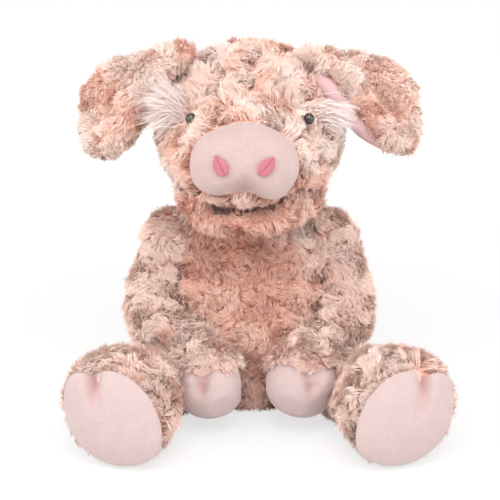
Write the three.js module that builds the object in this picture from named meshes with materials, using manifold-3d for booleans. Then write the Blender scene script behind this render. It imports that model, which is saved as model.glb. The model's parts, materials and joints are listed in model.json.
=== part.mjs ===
// A plush pig that sits upright: a furry torso, head, arms and legs, each a sewn plush
// bag round its own filling, with velour snout, hooves, soles and ear linings.
// Millimetres, +Z up. The pig faces -Y and its left side is +X.
// The origin is the middle of the flat seat that it sits on.
import * as THREE from 'three';
import { mergeVertices } from 'three/addons/utils/BufferGeometryUtils.js';
import Module from 'manifold-3d';

const wasm = await Module();
wasm.setup();

const V = (x, y, z) => new THREE.Vector3(x, y, z);
const radians = THREE.MathUtils.degToRad;

// Cloth, filling and the gaps between sewn pieces.
const plushThickness = 8;      // backing cloth and pile together
const velourThickness = 2.4;   // short velour of the snout, soles and hooves
const seamGap = 0.3;           // between pieces that are sewn or lie together
const swingGap = 0.9;          // between a limb and what it swings past
const seatCut = 0.5;           // how deep the floor flattens what rests on it
const overrun = 60;            // how far a cutter runs past what it cuts

// Torso. Shares run from the seat up to the neck.
const torsoHeight = 176;
const torsoHalfWidth = 68;
const torsoHalfDepth = 56;
const torsoLean = 8;           // how far the shoulders sit behind the hips
const torsoHeightShares = [0, 0.04, 0.12, 0.27, 0.45, 0.62, 0.78, 0.9, 0.97, 1];
const torsoWidthShares = [0.84, 0.93, 0.98, 1, 0.98, 0.92, 0.84, 0.68, 0.46, 0.18];
const torsoDepthShares = [0.84, 0.93, 0.98, 1, 0.95, 0.85, 0.76, 0.64, 0.46, 0.18];
const torsoLeanShares = [-0.4, -0.4, -0.4, -0.4, 0, 0.5, 0.9, 1, 1, 1];

// Neck: the top of the torso is a dome, and the head is hollowed to sit and turn on it.
const domeRadius = 62;
const domeHeight = 108;        // of the dome's middle above the seat
const domeBack = 6;
const neckThreadRadius = 1.1;
const neckSeamRadius = 24;     // of the ring of thread that draws the neck seam together
const headTurn = 25;           // degrees to each side
const headNod = 8;             // degrees down and up

// Head: skull and muzzle as one form. Shares run from the back of the head to the snout.
const headHeight = 215;        // of the skull's middle above the seat
const skullHalfWidth = 72;
const skullHalfHeight = 65;
const skullReach = 62;         // behind the origin
const muzzleReach = 96;        // in front of the origin
const muzzleDrop = 13;          // of the muzzle's middle below the skull's middle
const headAlongShares = [0, 0.03, 0.12, 0.27, 0.44, 0.6, 0.74, 0.86, 0.96, 1];
const headWidthShares = [0.16, 0.42, 0.74, 0.95, 1, 0.94, 0.76, 0.62, 0.55, 0.42];
const headTallShares = [0.16, 0.42, 0.75, 0.96, 1, 0.9, 0.7, 0.58, 0.5, 0.36];
const headDropShares = [0, 0, 0, 0, 0, 0.25, 0.7, 0.95, 1, 1];

// Jaw: lower lip and chin. The mouth is the crease between it and the muzzle.
const jawHalfWidth = 57;
const jawHalfHeight = 29;
const jawBack = 10;            // reach behind the origin
const jawReach = 84;           // reach in front of the origin
const jawDrop = 42;            // of the jaw's middle below the skull's middle
const chinDrop = 6;           // of the chin below the jaw
const jawAlongShares = [0, 0.1, 0.3, 0.5, 0.68, 0.84, 0.95, 1];
const jawWidthShares = [0.5, 0.8, 0.96, 1, 0.92, 0.72, 0.46, 0.2];
const jawTallShares = [0.4, 0.75, 0.95, 1, 0.9, 0.7, 0.45, 0.2];
const jawDropShares = [0, 0, 0.05, 0.2, 0.45, 0.75, 0.95, 1];

// Snout: a velour cushion on the front of the muzzle, with two lobes below.
const snoutHalfWidth = 39;
const snoutHalfHeight = 29;
const snoutDepth = 26;
const snoutReach = 110;        // of its front face in front of the origin
const snoutDrop = 12;           // of its middle below the skull's middle
const snoutTilt = 8;           // degrees, front face tipped upwards
const snoutNotchWidth = 26;    // degrees of the snout's round that the dip takes
const nostrilYaw = 8;          // degrees, each nostril faces outwards
const snoutNotchShare = 0.2;   // depth of the dip between the lobes
const snoutEdgeShares = [0.93, 0.99, 1, 0.97, 0.85, 0.55, 0.2];
const snoutDepthShares = [0, 0.25, 0.5, 0.7, 0.87, 0.97, 1];
const nostrilHalfWidth = 4;
const nostrilHalfHeight = 7;
const nostrilThickness = 2.4;
const nostrilSlit = 1.1;       // width of the stitched fold in each nostril
const nostrilApart = 16.5;     // of each nostril from the middle of the snout
const nostrilRise = 3;
const nostrilTurn = 16;        // degrees, upper ends turned outwards
const nostrilShares = [0.3, 0.8, 1, 0.95, 0.72, 0.4, 0.15];

// Eyes: a bead on a post that goes through the plush and is held by a washer inside.
const eyeRadius = 4.6;
const eyePostRadius = 1.6;
const eyePostLength = 16;
const eyeWasherRadius = 6.5;
const eyeWasherThickness = 1.6;
const eyeWasherLip = 0.8;      // of the washer's raised middle
const eyeApart = 37;
const eyeForward = 52;
const eyeRise = 15;            // above the skull's middle
const eyeToe = 28;             // degrees that each eye looks outwards
const eyeSink = 2.2;           // how far the bead is drawn into the pile

// Tufts of long hair beside the eyes.
const tuftLength = 38;
const tuftHalfWidth = 9;
const tuftHalfThickness = 3.5;
const tuftApart = 54;
const tuftRise = 20;           // above the skull's middle
const tuftForward = 40;
const tuftLift = 26;           // degrees that it points up
const tuftToe = 12;            // degrees that it points back
const tuftShares = [0.8, 1, 0.92, 0.72, 0.45, 0.12];

// Ears: a leaf of plush lined with velour and folded over, so that it hangs. Shares run
// from the root to the tip, along the fold and along the open edge of the rear half.
const earRootApart = 38;
const earRootRise = 50;        // of the fold at the root, above the skull's middle
const earSpan = 86;            // reach of the fold out from the root
const earHang = 70;            // fall of the tip below the highest point of the fold
const earBack = 8;             // of the root behind the origin
const earForward = 12;         // reach of the tip in front of the root
const earFoldWidth = 22;       // between the two halves of the folded leaf
const earPlushThickness = 8;
const earLift = 35;            // degrees
const earRings = 11;
const earLinedRings = 10;      // the lining stops short of the tip
const earStrips = 6;
const foldOutShares = [0, 0.22, 0.52, 0.78, 0.93, 0.99, 1, 0.99, 0.93];
const foldDropShares = [0.06, 0, 0, 0.06, 0.22, 0.48, 0.69, 0.87, 1];
const edgeOutShares = [0.13, 0.27, 0.41, 0.53, 0.63, 0.71, 0.77, 0.8, 0.82];
const edgeDropShares = [0.57, 0.585, 0.67, 0.77, 0.87, 0.94, 0.98, 1, 1];
const earWidthShares = [0.9, 1, 1, 1, 0.95, 0.9, 0.78, 0.62, 0.48];
const flapOpenShares = [0.36, 0.34, 0.28, 0.18, 0.08, 0.02, 0, 0, 0];

// Arms: from the shoulder down past the belly to a hoof in the lap.
const armRadius = 26;
const shoulderApart = 57;
const shoulderHeight = 141;
const shoulderBack = 5;
const shoulderDrop = 14;       // of the pivot below the top of the arm
const elbowApart = 71;
const elbowHeight = 70;
const elbowForward = 14;
const wristApart = 44;
const wristHeight = 46;
const wristForward = 64;
const hoofApart = 24;
const hoofHeight = 26;
const hoofForward = 107;
const lapShift = 6;            // both hooves lie this far to the pig's left
const armRaise = 30;           // degrees
const armWidthShares = [0.42, 0.78, 0.98, 1.02, 1, 0.96, 1.02, 1.16, 1.1, 0.55];
const cuffShare = 0.7;         // where along the arm the sleeve ends and the hoof starts
const cleftAt = Math.PI / 2;   // radians round the arm, the upper side of the hoof
const cleftWidth = 24;         // degrees of the hoof's round that the cleft takes
const cleftShares = [0, 0, 0, 0, 0, 0, 0, 0.1, 0.22, 0.3];

// Legs: from the hip forwards and outwards to an upright foot with a velour sole.
const legRadius = 29;
const hipApart = 46;
const hipHeight = 27;
const hipForward = 12;
const kneeApart = 75;
const kneeHeight = 28;
const kneeForward = 62;
const footApart = 101;
const footHeight = 39;
const footForward = 139;
const footRadius = 41;
const footLength = 26;         // of the straight part behind the sole
const legDrop = 50;            // degrees
const footSwellShares = [0, 0, 0, 0.05, 0.2, 0.5, 0.85, 1, 1, 1];
const legEndShares = [0.5, 0.9, 1, 1, 1, 1, 1, 1, 0.96, 0.78];
const soleHalfWidth = 31;
const soleHalfHeight = 34;
const soleRise = 2;            // of its middle above the foot's
const soleDepth = 9;
const soleCrown = 5;           // how far the sole stands out of the foot
const soleToe = 16;            // degrees that each sole faces outwards
const toeCleftWidth = 20;      // degrees of the sole's round that the notch takes
const toeCleft = 0.24;         // share of the sole's height taken by the notch between the toes
const soleEdgeShares = [0.97, 1, 0.98, 0.9, 0.68, 0.3];
const soleDepthShares = [0, 0.3, 0.6, 0.82, 0.96, 1];

// Tail: one small curl on the back of the torso.
const tailHeight = 46;
const tailRadius = 4.5;
const tailCurlRadius = 8;
const tailReach = 22;
const tailTurns = 1.25;
const tailDetail = { rings: 18, sides: 6 };
const tailWag = 25;            // degrees to each side
const tailWidthShares = [0.9, 1, 1, 0.95, 0.85, 0.7, 0.35];

// Pellet bag: the weight in the seat.
const pelletHalfWidth = 40;
const pelletHalfDepth = 32;
const pelletHalfHeight = 18;
const pelletRestShare = 0.7;   // of that height, from its middle down to its flat underside
const neckOpeningRadius = 18;  // of the torso's bag under the neck seam

// How finely each form is drawn.
const fine = { rings: 12, sides: 18 };
const medium = { rings: 7, sides: 16 };
const rough = { rings: 7, sides: 12 };
const neckDetail = { rings: 24, sides: 32 };   // fine enough to turn without catching
const small = { rings: 6, sides: 8 };

// A value from a list of shares, smoothed between its entries. t runs from 0 to 1.
function along(shares, t) {
  const at = t * (shares.length - 1);
  const i = Math.min(Math.floor(at), shares.length - 2);
  const s = at - i;
  const [before, a, b, after] = [-1, 0, 1, 2].map(
    (k) => shares[THREE.MathUtils.clamp(i + k, 0, shares.length - 1)],
  );
  const bend = (2 * before - 5 * a + 4 * b - after) * s * s;
  const twist = (3 * a - before - 3 * b + after) * s * s * s;
  return (2 * a + (b - before) * s + bend + twist) / 2;
}

const circle = (a) => [Math.cos(a), Math.sin(a)];

// A circle with a dip of a share of its radius at an angle, some degrees wide.
function notched(a, depth, at, width) {
  const away = Math.atan2(Math.sin(a - at), Math.cos(a - at)) / radians(width);
  const radius = 1 - depth * Math.exp(-away * away);
  return [radius * Math.cos(a), radius * Math.sin(a)];
}

// A closed form that swells and tapers. section(t) gives a ring's middle, and its half
// sizes as two vectors, side and rise. The first and last rings close on their middles.
function swellingForm(section, { rings, sides }, outline = circle) {
  const points = [];
  const faces = [];
  for (let r = 0; r <= rings; r += 1) {
    const { middle, side, rise } = section(r / rings);
    for (let k = 0; k < sides; k += 1) {
      const [across, up] = outline((2 * Math.PI * k) / sides, r / rings);
      points.push(middle.clone().addScaledVector(side, across).addScaledVector(rise, up));
    }
  }
  points.push(section(0).middle, section(1).middle);
  const [foot, tip] = [points.length - 2, points.length - 1];
  for (let k = 0; k < sides; k += 1) {
    const next = (k + 1) % sides;
    faces.push(foot, next, k);
    faces.push(tip, rings * sides + k, rings * sides + next);
    for (let r = 0; r < rings; r += 1) {
      const [a, b] = [r * sides + k, r * sides + next];
      faces.push(a, b, a + sides, b, b + sides, a + sides);
    }
  }
  return new THREE.BufferGeometry().setFromPoints(points).setIndex(faces);
}

// The same closed surface moved out along its normals, or in where distance is negative.
function grown(geometry, distance) {
  const moved = geometry.clone();
  moved.computeVertexNormals();
  const { position, normal } = moved.attributes;
  const outward = signedVolume(moved) < 0 ? -1 : 1;
  for (let i = 0; i < position.count; i += 1) {
    const point = V(0, 0, 0).fromBufferAttribute(position, i);
    const away = V(0, 0, 0).fromBufferAttribute(normal, i);
    point.addScaledVector(away, outward * distance);
    position.setXYZ(i, point.x, point.y, point.z);
  }
  return moved;
}

function signedVolume(geometry) {
  const { position } = geometry.attributes;
  const corner = (i) => V(0, 0, 0).fromBufferAttribute(position, geometry.index.getX(i));
  let total = 0;
  for (let i = 0; i < geometry.index.count; i += 3) {
    total += corner(i).dot(corner(i + 1).cross(corner(i + 2)));
  }
  return total;
}

// A closed geometry as a solid that can be joined and cut, with its faces pointing out.
function solid(geometry) {
  const bare = geometry.clone();
  bare.deleteAttribute('normal');
  bare.deleteAttribute('uv');
  const merged = mergeVertices(bare);
  const triVerts = new Uint32Array(merged.index.array);
  if (signedVolume(merged) < 0) triVerts.reverse();
  const vertProperties = new Float32Array(merged.attributes.position.array);
  return new wasm.Manifold(new wasm.Mesh({ numProp: 3, vertProperties, triVerts }));
}

function ball(radius, middle, detail = fine) {
  const sphere = new THREE.SphereGeometry(radius, detail.sides, detail.rings);
  return solid(sphere.translate(middle.x, middle.y, middle.z));
}

// A round bar from one point to another.
function bar(radius, from, to, sides = medium.sides) {
  const way = to.clone().sub(from);
  const rod = new THREE.CylinderGeometry(radius, radius, way.length(), sides);
  const turn = new THREE.Quaternion().setFromUnitVectors(V(0, 1, 0), way.clone().normalize());
  const middle = from.clone().add(to).multiplyScalar(1 / 2);
  return solid(rod.applyQuaternion(turn).translate(middle.x, middle.y, middle.z));
}

// All space under a height, as far as the cutters run.
function spaceBelow(height) {
  const reach = 2 * (overrun + torsoHeight);
  const block = new THREE.BoxGeometry(reach, reach, reach);
  return solid(block.translate(0, 0, height - reach / 2));
}

// still, turned about an axis through pivot.
function turned(still, pivot, angles) {
  return still
    .translate(-pivot.x, -pivot.y, -pivot.z)
    .rotate(angles)
    .translate(pivot.x, pivot.y, pivot.z);
}

// What is left of a swinging piece once the still one has passed it at each angle.
function clearedOf(piece, still, pivot, swings) {
  return swings.reduce((left, angles) => left.subtract(turned(still, pivot, angles)), piece);
}

// Every angle of a swing, close enough together that nothing between them is missed.
const wideStep = 10;
const closeStep = 5;
function swing(range, axis, between = wideStep) {
  const steps = Math.max(1, Math.ceil(Math.abs(range) / between));
  return Array.from({ length: steps + 1 }, (_, i) => axis.map((a) => (a * range * i) / steps));
}

// Edges that a cut leaves flatter than this are merged.
const sliver = 0.12;
const pig = new THREE.Group();

// Adds a solid to the pig as a named piece of its material.
function addPiece(name, made, material) {
  const { numProp, vertProperties, triVerts } = made.simplify(sliver).getMesh();
  const position = new THREE.BufferAttribute(new Float32Array(vertProperties), numProp);
  const geometry = new THREE.BufferGeometry().setAttribute('position', position);
  geometry.setIndex(new THREE.BufferAttribute(new Uint32Array(triVerts), 1));
  geometry.computeVertexNormals();
  const mesh = new THREE.Mesh(geometry, material);
  mesh.name = name;
  pig.add(mesh);
}

const finish = (color, roughness) => new THREE.MeshStandardMaterial({ color, roughness, metalness: 0 });
const plush = finish(0xd9a99b, 0.95);
const velour = finish(0xe6c6c6, 0.9);
const rosyVelour = finish(0xe08a98, 0.9);
const longHair = finish(0xe8cfcb, 0.9);
const fibre = finish(0xf2f0ec, 1);
const pelletCloth = finish(0xddd8cf, 0.95);
const beadPlastic = finish(0x14110f, 0.12);
const washerPlastic = finish(0xe9e7e0, 0.5);
const thread = finish(0xc89a8e, 0.8);

const underFloor = spaceBelow(0);
const domeMiddle = V(0, domeBack, domeHeight);
const skullMiddle = V(0, 0, headHeight);

// Torso.
const torsoSection = (t) => ({
  middle: V(0, torsoLean * along(torsoLeanShares, t), torsoHeight * along(torsoHeightShares, t) - seatCut),
  side: V(torsoHalfWidth * along(torsoWidthShares, t), 0, 0),
  rise: V(0, torsoHalfDepth * along(torsoDepthShares, t), 0),
});

// The torso, larger or smaller all over, with its shoulders rounded to the neck's dome.
function torsoBody(distance, detail = fine) {
  const body = solid(grown(swellingForm(torsoSection, detail), distance));
  const dome = ball(domeRadius + distance, domeMiddle, detail === rough ? rough : neckDetail);
  return body.intersect(dome.add(spaceBelow(domeHeight))).subtract(underFloor);
}
const torsoOuter = torsoBody(0);
const torsoCutter = torsoBody(swingGap);
const torsoInner = torsoBody(-plushThickness, rough).trimByPlane([0, 0, 1], plushThickness);
const torsoFilled = torsoBody(-plushThickness - seamGap, rough)
  .trimByPlane([0, 0, 1], plushThickness + seamGap);
const neckTop = V(0, domeBack, domeHeight + domeRadius + overrun);
const neckOpening = bar(neckOpeningRadius, domeMiddle, neckTop);
const pelletSphere = (distance) => new THREE.SphereGeometry(1, rough.sides, rough.rings).scale(
  pelletHalfWidth + distance,
  pelletHalfDepth + distance,
  pelletHalfHeight + distance,
);
const bagFloor = plushThickness + seamGap;
const pelletHeight = bagFloor + pelletHalfHeight * pelletRestShare;
const pelletBag = solid(pelletSphere(0).translate(0, 0, pelletHeight))
  .trimByPlane([0, 0, 1], bagFloor);
const pelletRoom = solid(pelletSphere(seamGap).translate(0, 0, pelletHeight));
addPiece('torso_skin', torsoOuter.subtract(torsoInner).subtract(neckOpening), plush);
addPiece('torso_stuffing', torsoFilled.subtract(pelletRoom), fibre);
addPiece('pellet_bag', pelletBag, pelletCloth);

// Neck thread: a drawn ring in a groove round the cup that the head sits on.
const ringAngle = Math.asin(neckSeamRadius / domeRadius);
const ringRise = (domeRadius + seamGap + neckThreadRadius) * Math.cos(ringAngle);
const ringRound = (domeRadius + seamGap + neckThreadRadius) * Math.sin(ringAngle);
function neckRing(radius) {
  const ring = new THREE.TorusGeometry(ringRound, radius, small.rings, 2 * medium.sides);
  return solid(ring.translate(domeMiddle.x, domeMiddle.y, domeMiddle.z + ringRise));
}
addPiece('neck_thread', neckRing(neckThreadRadius), thread);

// Head: the skull runs into the muzzle, over a separate swelling for the jaw.
const headLength = skullReach + muzzleReach;
const skullSection = (t) => ({
  middle: V(
    0,
    skullReach - headLength * along(headAlongShares, t),
    headHeight - muzzleDrop * along(headDropShares, t),
  ),
  side: V(skullHalfWidth * along(headWidthShares, t), 0, 0),
  rise: V(0, 0, skullHalfHeight * along(headTallShares, t)),
});
const jawLength = jawBack + jawReach;
const jawSection = (t) => ({
  middle: V(
    0,
    jawBack - jawLength * along(jawAlongShares, t),
    headHeight - jawDrop - chinDrop * along(jawDropShares, t),
  ),
  side: V(jawHalfWidth * along(jawWidthShares, t), 0, 0),
  rise: V(0, 0, jawHalfHeight * along(jawTallShares, t)),
});
function headBody(distance, detail = fine) {
  const skull = solid(grown(swellingForm(skullSection, detail), distance));
  const jawDetail = detail === fine ? medium : rough;
  const jaw = solid(grown(swellingForm(jawSection, jawDetail), distance));
  const cupDetail = detail === rough ? rough : neckDetail;
  return skull.add(jaw).subtract(ball(domeRadius + swingGap - distance, domeMiddle, cupDetail));
}
const headOuter = headBody(0);
const headTuftCutter = headBody(seamGap);
const headEarCutter = headBody(swingGap);
const headInner = headBody(-plushThickness, rough);
const headFilled = headBody(-plushThickness - seamGap, rough);

// Snout: built facing -Y about the middle of its back, then tipped and set on the muzzle.
function snoutForm(inset, backwards) {
  const section = (t) => {
    const edge = along(snoutEdgeShares, t);
    const depth = (snoutDepth - inset + backwards) * along(snoutDepthShares, t);
    return {
      middle: V(0, backwards - depth, 0),
      side: V(snoutHalfWidth * edge - inset * edge, 0, 0),
      rise: V(0, 0, snoutHalfHeight * edge - inset * edge),
    };
  };
  const lobes = (a) => notched(a, snoutNotchShare, -Math.PI / 2, snoutNotchWidth);
  return solid(swellingForm(section, medium, lobes));
}
const snoutBack = V(0, snoutDepth - snoutReach, headHeight - snoutDrop);
const onMuzzle = (local) => local
  .rotate([-snoutTilt, 0, 0])
  .translate(snoutBack.x, snoutBack.y, snoutBack.z);
const snoutOuter = onMuzzle(snoutForm(0, 0));
const snoutRoom = onMuzzle(snoutForm(-seamGap, seamGap));
const snoutHollow = onMuzzle(snoutForm(velourThickness, velourThickness));
const snoutFilled = onMuzzle(snoutForm(velourThickness + seamGap, velourThickness))
  .intersect(snoutOuter);
const snoutCore = onMuzzle(snoutForm(plushThickness + seamGap, plushThickness));

// Where a straight line from a point first meets a solid.
function surfaceAt(body, from, way) {
  const { numProp, vertProperties, triVerts } = body.getMesh();
  const geometry = new THREE.BufferGeometry();
  geometry.setAttribute('position', new THREE.BufferAttribute(vertProperties, numProp));
  geometry.setIndex(new THREE.BufferAttribute(triVerts, 1));
  const skin = new THREE.Mesh(geometry, new THREE.MeshBasicMaterial({ side: THREE.DoubleSide }));
  const [hit] = new THREE.Raycaster(from, way.clone().normalize()).intersectObject(skin);
  return hit.point;
}

// Nostrils: teardrop pads let into the velour, each with its stitched fold.
function nostrilForm(distance) {
  const section = (t) => ({
    middle: V(0, 0, nostrilHalfHeight * (2 * t - 1)),
    side: V(nostrilHalfWidth * along(nostrilShares, t), 0, 0),
    rise: V(0, (nostrilThickness / 2) * along(nostrilShares, t), 0),
  });
  return solid(grown(swellingForm(section, small), distance));
}
const nostrilFold = new THREE.BoxGeometry(nostrilSlit, nostrilThickness, nostrilHalfHeight);
const sides = [['left', 1], ['right', -1]];
const facingForward = V(0, 1, 0);
const nostrilPlaces = sides.map(([, side]) => {
  const from = V(side * nostrilApart, -snoutReach - overrun, headHeight - snoutDrop + nostrilRise);
  const seat = surfaceAt(snoutOuter, from, facingForward);
  return (local) => local
    .rotate([-snoutTilt, side * nostrilTurn, 0])
    .rotate([0, 0, side * nostrilYaw])
    .translate(seat.x, seat.y, seat.z);
});
const nostrilRooms = nostrilPlaces.map((place) => place(nostrilForm(seamGap)));
const snoutCover = nostrilRooms.reduce(
  (left, room) => left.subtract(room),
  snoutOuter.subtract(snoutHollow),
);
addPiece('snout_cover', snoutCover, velour);
const fold = solid(nostrilFold).translate(0, -nostrilThickness / 2, 0);
sides.forEach(([name], i) => {
  addPiece(`nostril_${name}`, nostrilPlaces[i](nostrilForm(0).subtract(fold)), rosyVelour);
});

// Eyes: a turned bead and post along +Z, pushed through the plush at the cheeks.
function turnedPart(outline) {
  const points = outline.map(([radius, height]) => new THREE.Vector2(radius, height));
  return solid(new THREE.LatheGeometry(points, small.sides).rotateX(Math.PI / 2));
}
const beadOutline = (gap) => [
  [0, -eyePostLength - gap],
  [eyePostRadius + gap, -eyePostLength - gap],
  [eyePostRadius + gap, -eyeSink - gap],
  [eyeRadius * 0.8 + gap, -eyeSink - gap],
  [eyeRadius + gap, 0],
  [eyeRadius * 0.8 + gap, eyeRadius * 0.6],
  [eyeRadius * 0.4, eyeRadius * 0.92],
  [0, eyeRadius + gap],
];
const washerDepth = plushThickness + seamGap;
const washerOutline = [
  [eyePostRadius + seamGap, -washerDepth],
  [eyeWasherRadius * 0.55, -washerDepth],
  [eyeWasherRadius, -washerDepth - eyeWasherLip],
  [eyeWasherRadius, -washerDepth - eyeWasherThickness],
  [eyePostRadius + seamGap, -washerDepth - eyeWasherThickness - eyeWasherLip],
  [eyePostRadius + seamGap, -washerDepth],
];
const eyes = sides.map(([name, side]) => {
  const way = V(side * Math.sin(radians(eyeToe)), -Math.cos(radians(eyeToe)), 0);
  const aim = V(side * eyeApart, -eyeForward, headHeight + eyeRise);
  const from = aim.clone().addScaledVector(way, overrun * 2);
  const seat = surfaceAt(headOuter, from, way.clone().negate());
  const upright = new THREE.Quaternion().setFromUnitVectors(V(0, 0, 1), way);
  const angles = new THREE.Euler().setFromQuaternion(upright, 'ZYX');
  const degrees = [angles.x, angles.y, angles.z].map(THREE.MathUtils.radToDeg);
  const place = (local) => local.rotate(degrees).translate(seat.x, seat.y, seat.z);
  const inside = seat.clone().addScaledVector(way, -washerDepth + seamGap);
  const deep = seat.clone().addScaledVector(way, -eyePostLength - seamGap);
  return {
    name,
    bead: place(turnedPart(beadOutline(0))),
    beadRoom: place(turnedPart(beadOutline(seamGap))),
    washer: place(turnedPart(washerOutline)),
    washerRoom: bar(eyeWasherRadius + seamGap, inside, deep),
  };
});
let headSkin = headOuter.subtract(headInner).subtract(snoutRoom).subtract(neckRing(neckThreadRadius + seamGap));
let headStuffing = headFilled.subtract(snoutRoom).add(snoutFilled).add(snoutCore);
eyes.forEach(({ name, bead, beadRoom, washer, washerRoom }) => {
  addPiece(`eye_${name}`, bead, beadPlastic);
  addPiece(`eye_washer_${name}`, washer, washerPlastic);
  headSkin = headSkin.subtract(beadRoom).subtract(washerRoom);
  headStuffing = headStuffing.subtract(beadRoom).subtract(washerRoom);
});
addPiece('head_skin', headSkin, plush);
addPiece('head_stuffing', headStuffing, fibre);

// Tufts of long hair, flattened and drawn to a point.
const curve = (points) => new THREE.CatmullRomCurve3(points);
sides.forEach(([name, side]) => {
  const way = V(
    side * Math.cos(radians(tuftLift)) * Math.cos(radians(tuftToe)),
    Math.cos(radians(tuftLift)) * Math.sin(radians(tuftToe)),
    Math.sin(radians(tuftLift)),
  );
  const root = V(side * tuftApart, -tuftForward, headHeight + tuftRise);
  const up = V(0, 0, 1).addScaledVector(way, -way.z).normalize();
  const across = way.clone().cross(up);
  const section = (t) => ({
    middle: root.clone().addScaledVector(way, tuftLength * t),
    side: across.clone().multiplyScalar(tuftHalfThickness * along(tuftShares, t)),
    rise: up.clone().multiplyScalar(tuftHalfWidth * along(tuftShares, t)),
  });
  const hair = solid(swellingForm(section, small)).subtract(headTuftCutter);
  addPiece(`tuft_${name}`, hair, longHair);
});

// Ears. Across the leaf, one half hangs in front of the fold and one behind it: a place on
// it is a length along the leaf and a share of the way from the front edge to the rear.
function earFrame(u) {
  const top = headHeight + earRootRise;
  const back = earBack - (earBack + earForward) * u;
  const foldLine = V(
    earRootApart + earSpan * along(foldOutShares, u),
    back,
    top - earHang * along(foldDropShares, u),
  );
  const edge = V(
    earRootApart + earSpan * along(edgeOutShares, u),
    back,
    top - earHang * along(edgeDropShares, u),
  );
  return { foldLine, edge, width: (earFoldWidth / 2) * along(earWidthShares, u) };
}
function earPoint(u, share) {
  const { foldLine, edge, width } = earFrame(u);
  const up = foldLine.clone().sub(edge);
  const height = up.length();
  up.normalize();
  const bend = Math.min(width, height);
  const half = height - bend + (Math.PI / 2) * bend;
  const length = share < 1 / 2 ? -1 + along(flapOpenShares, u) : 1;
  const s = half * Math.abs(2 * share - 1) * Math.abs(length);
  const turn = Math.min(s / bend, Math.PI / 2);
  const rise = height - bend + bend * Math.cos(turn) - Math.max(s - (Math.PI / 2) * bend, 0);
  const across = Math.sign(share - 1 / 2) * bend * Math.sin(turn);
  return edge.clone().addScaledVector(up, rise).add(V(0, across, 0));
}
// The same place, moved off the leaf's middle surface towards the plush or the lining.
const step = 0.01;
function offEar(u, share, distance) {
  const [u0, u1] = [Math.max(u - step, 0), Math.min(u + step, 1)];
  const [s0, s1] = [Math.max(share - step, 0), Math.min(share + step, 1)];
  const down = earPoint(u1, share).sub(earPoint(u0, share));
  const over = earPoint(u, s1).sub(earPoint(u, s0));
  const away = down.cross(over).normalize();
  return earPoint(u, share).addScaledVector(away, distance);
}
// A layer of the leaf between two distances from its middle surface.
function earLayer(near, far, rings) {
  const points = [];
  const faces = [];
  const strips = earStrips;
  const around = 2 * (strips + 1);
  for (let r = 0; r <= rings; r += 1) {
    const u = r / earRings;
    for (let k = 0; k <= strips; k += 1) points.push(offEar(u, k / strips, far));
    for (let k = strips; k >= 0; k -= 1) points.push(offEar(u, k / strips, near));
  }
  for (let r = 0; r < rings; r += 1) {
    for (let k = 0; k < around; k += 1) {
      const next = (k + 1) % around;
      const [a, b] = [r * around + k, r * around + next];
      faces.push(a, b, a + around, b, b + around, a + around);
    }
  }
  for (const r of [0, rings]) {
    for (let k = 0; k < strips; k += 1) {
      const [a, b] = [r * around + k, r * around + around - 1 - k];
      const quad = [a, b, a + 1, b, b - 1, a + 1];
      faces.push(...(r === 0 ? quad : quad.reverse()));
    }
  }
  return solid(new THREE.BufferGeometry().setFromPoints(points).setIndex(faces));
}
const earPivot = V(earRootApart, 0, headHeight + earRootRise);
const clearEar = (piece) => clearedOf(piece, headEarCutter, earPivot, swing(earLift, [0, 1, 0]));
const earPlush = clearEar(earLayer(0, earPlushThickness, earRings));
const earLining = clearEar(earLayer(-velourThickness - swingGap, -swingGap, earLinedRings));
sides.forEach(([name, side]) => {
  const toSide = (piece) => (side > 0 ? piece : piece.mirror([1, 0, 0]));
  addPiece(`ear_plush_${name}`, toSide(earPlush), plush);
  addPiece(`ear_lining_${name}`, toSide(earLining), velour);
});

// A limb that follows a curve, with its half size at each share of its length.
function limbForm(path, halfSize, upward, inset, detail, outline) {
  const section = (t) => {
    const ahead = path.getTangent(t);
    const side = upward.clone().cross(ahead).normalize();
    const size = halfSize(t) - inset * Math.min(1, halfSize(t) / halfSize(1 / 2));
    const shift = t === 0 ? inset : t === 1 ? -inset : 0;
    return {
      middle: path.getPoint(t).addScaledVector(ahead, shift),
      side: side.clone().multiplyScalar(size),
      rise: ahead.clone().cross(side).multiplyScalar(size),
    };
  };
  return solid(swellingForm(section, detail, outline));
}

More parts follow.
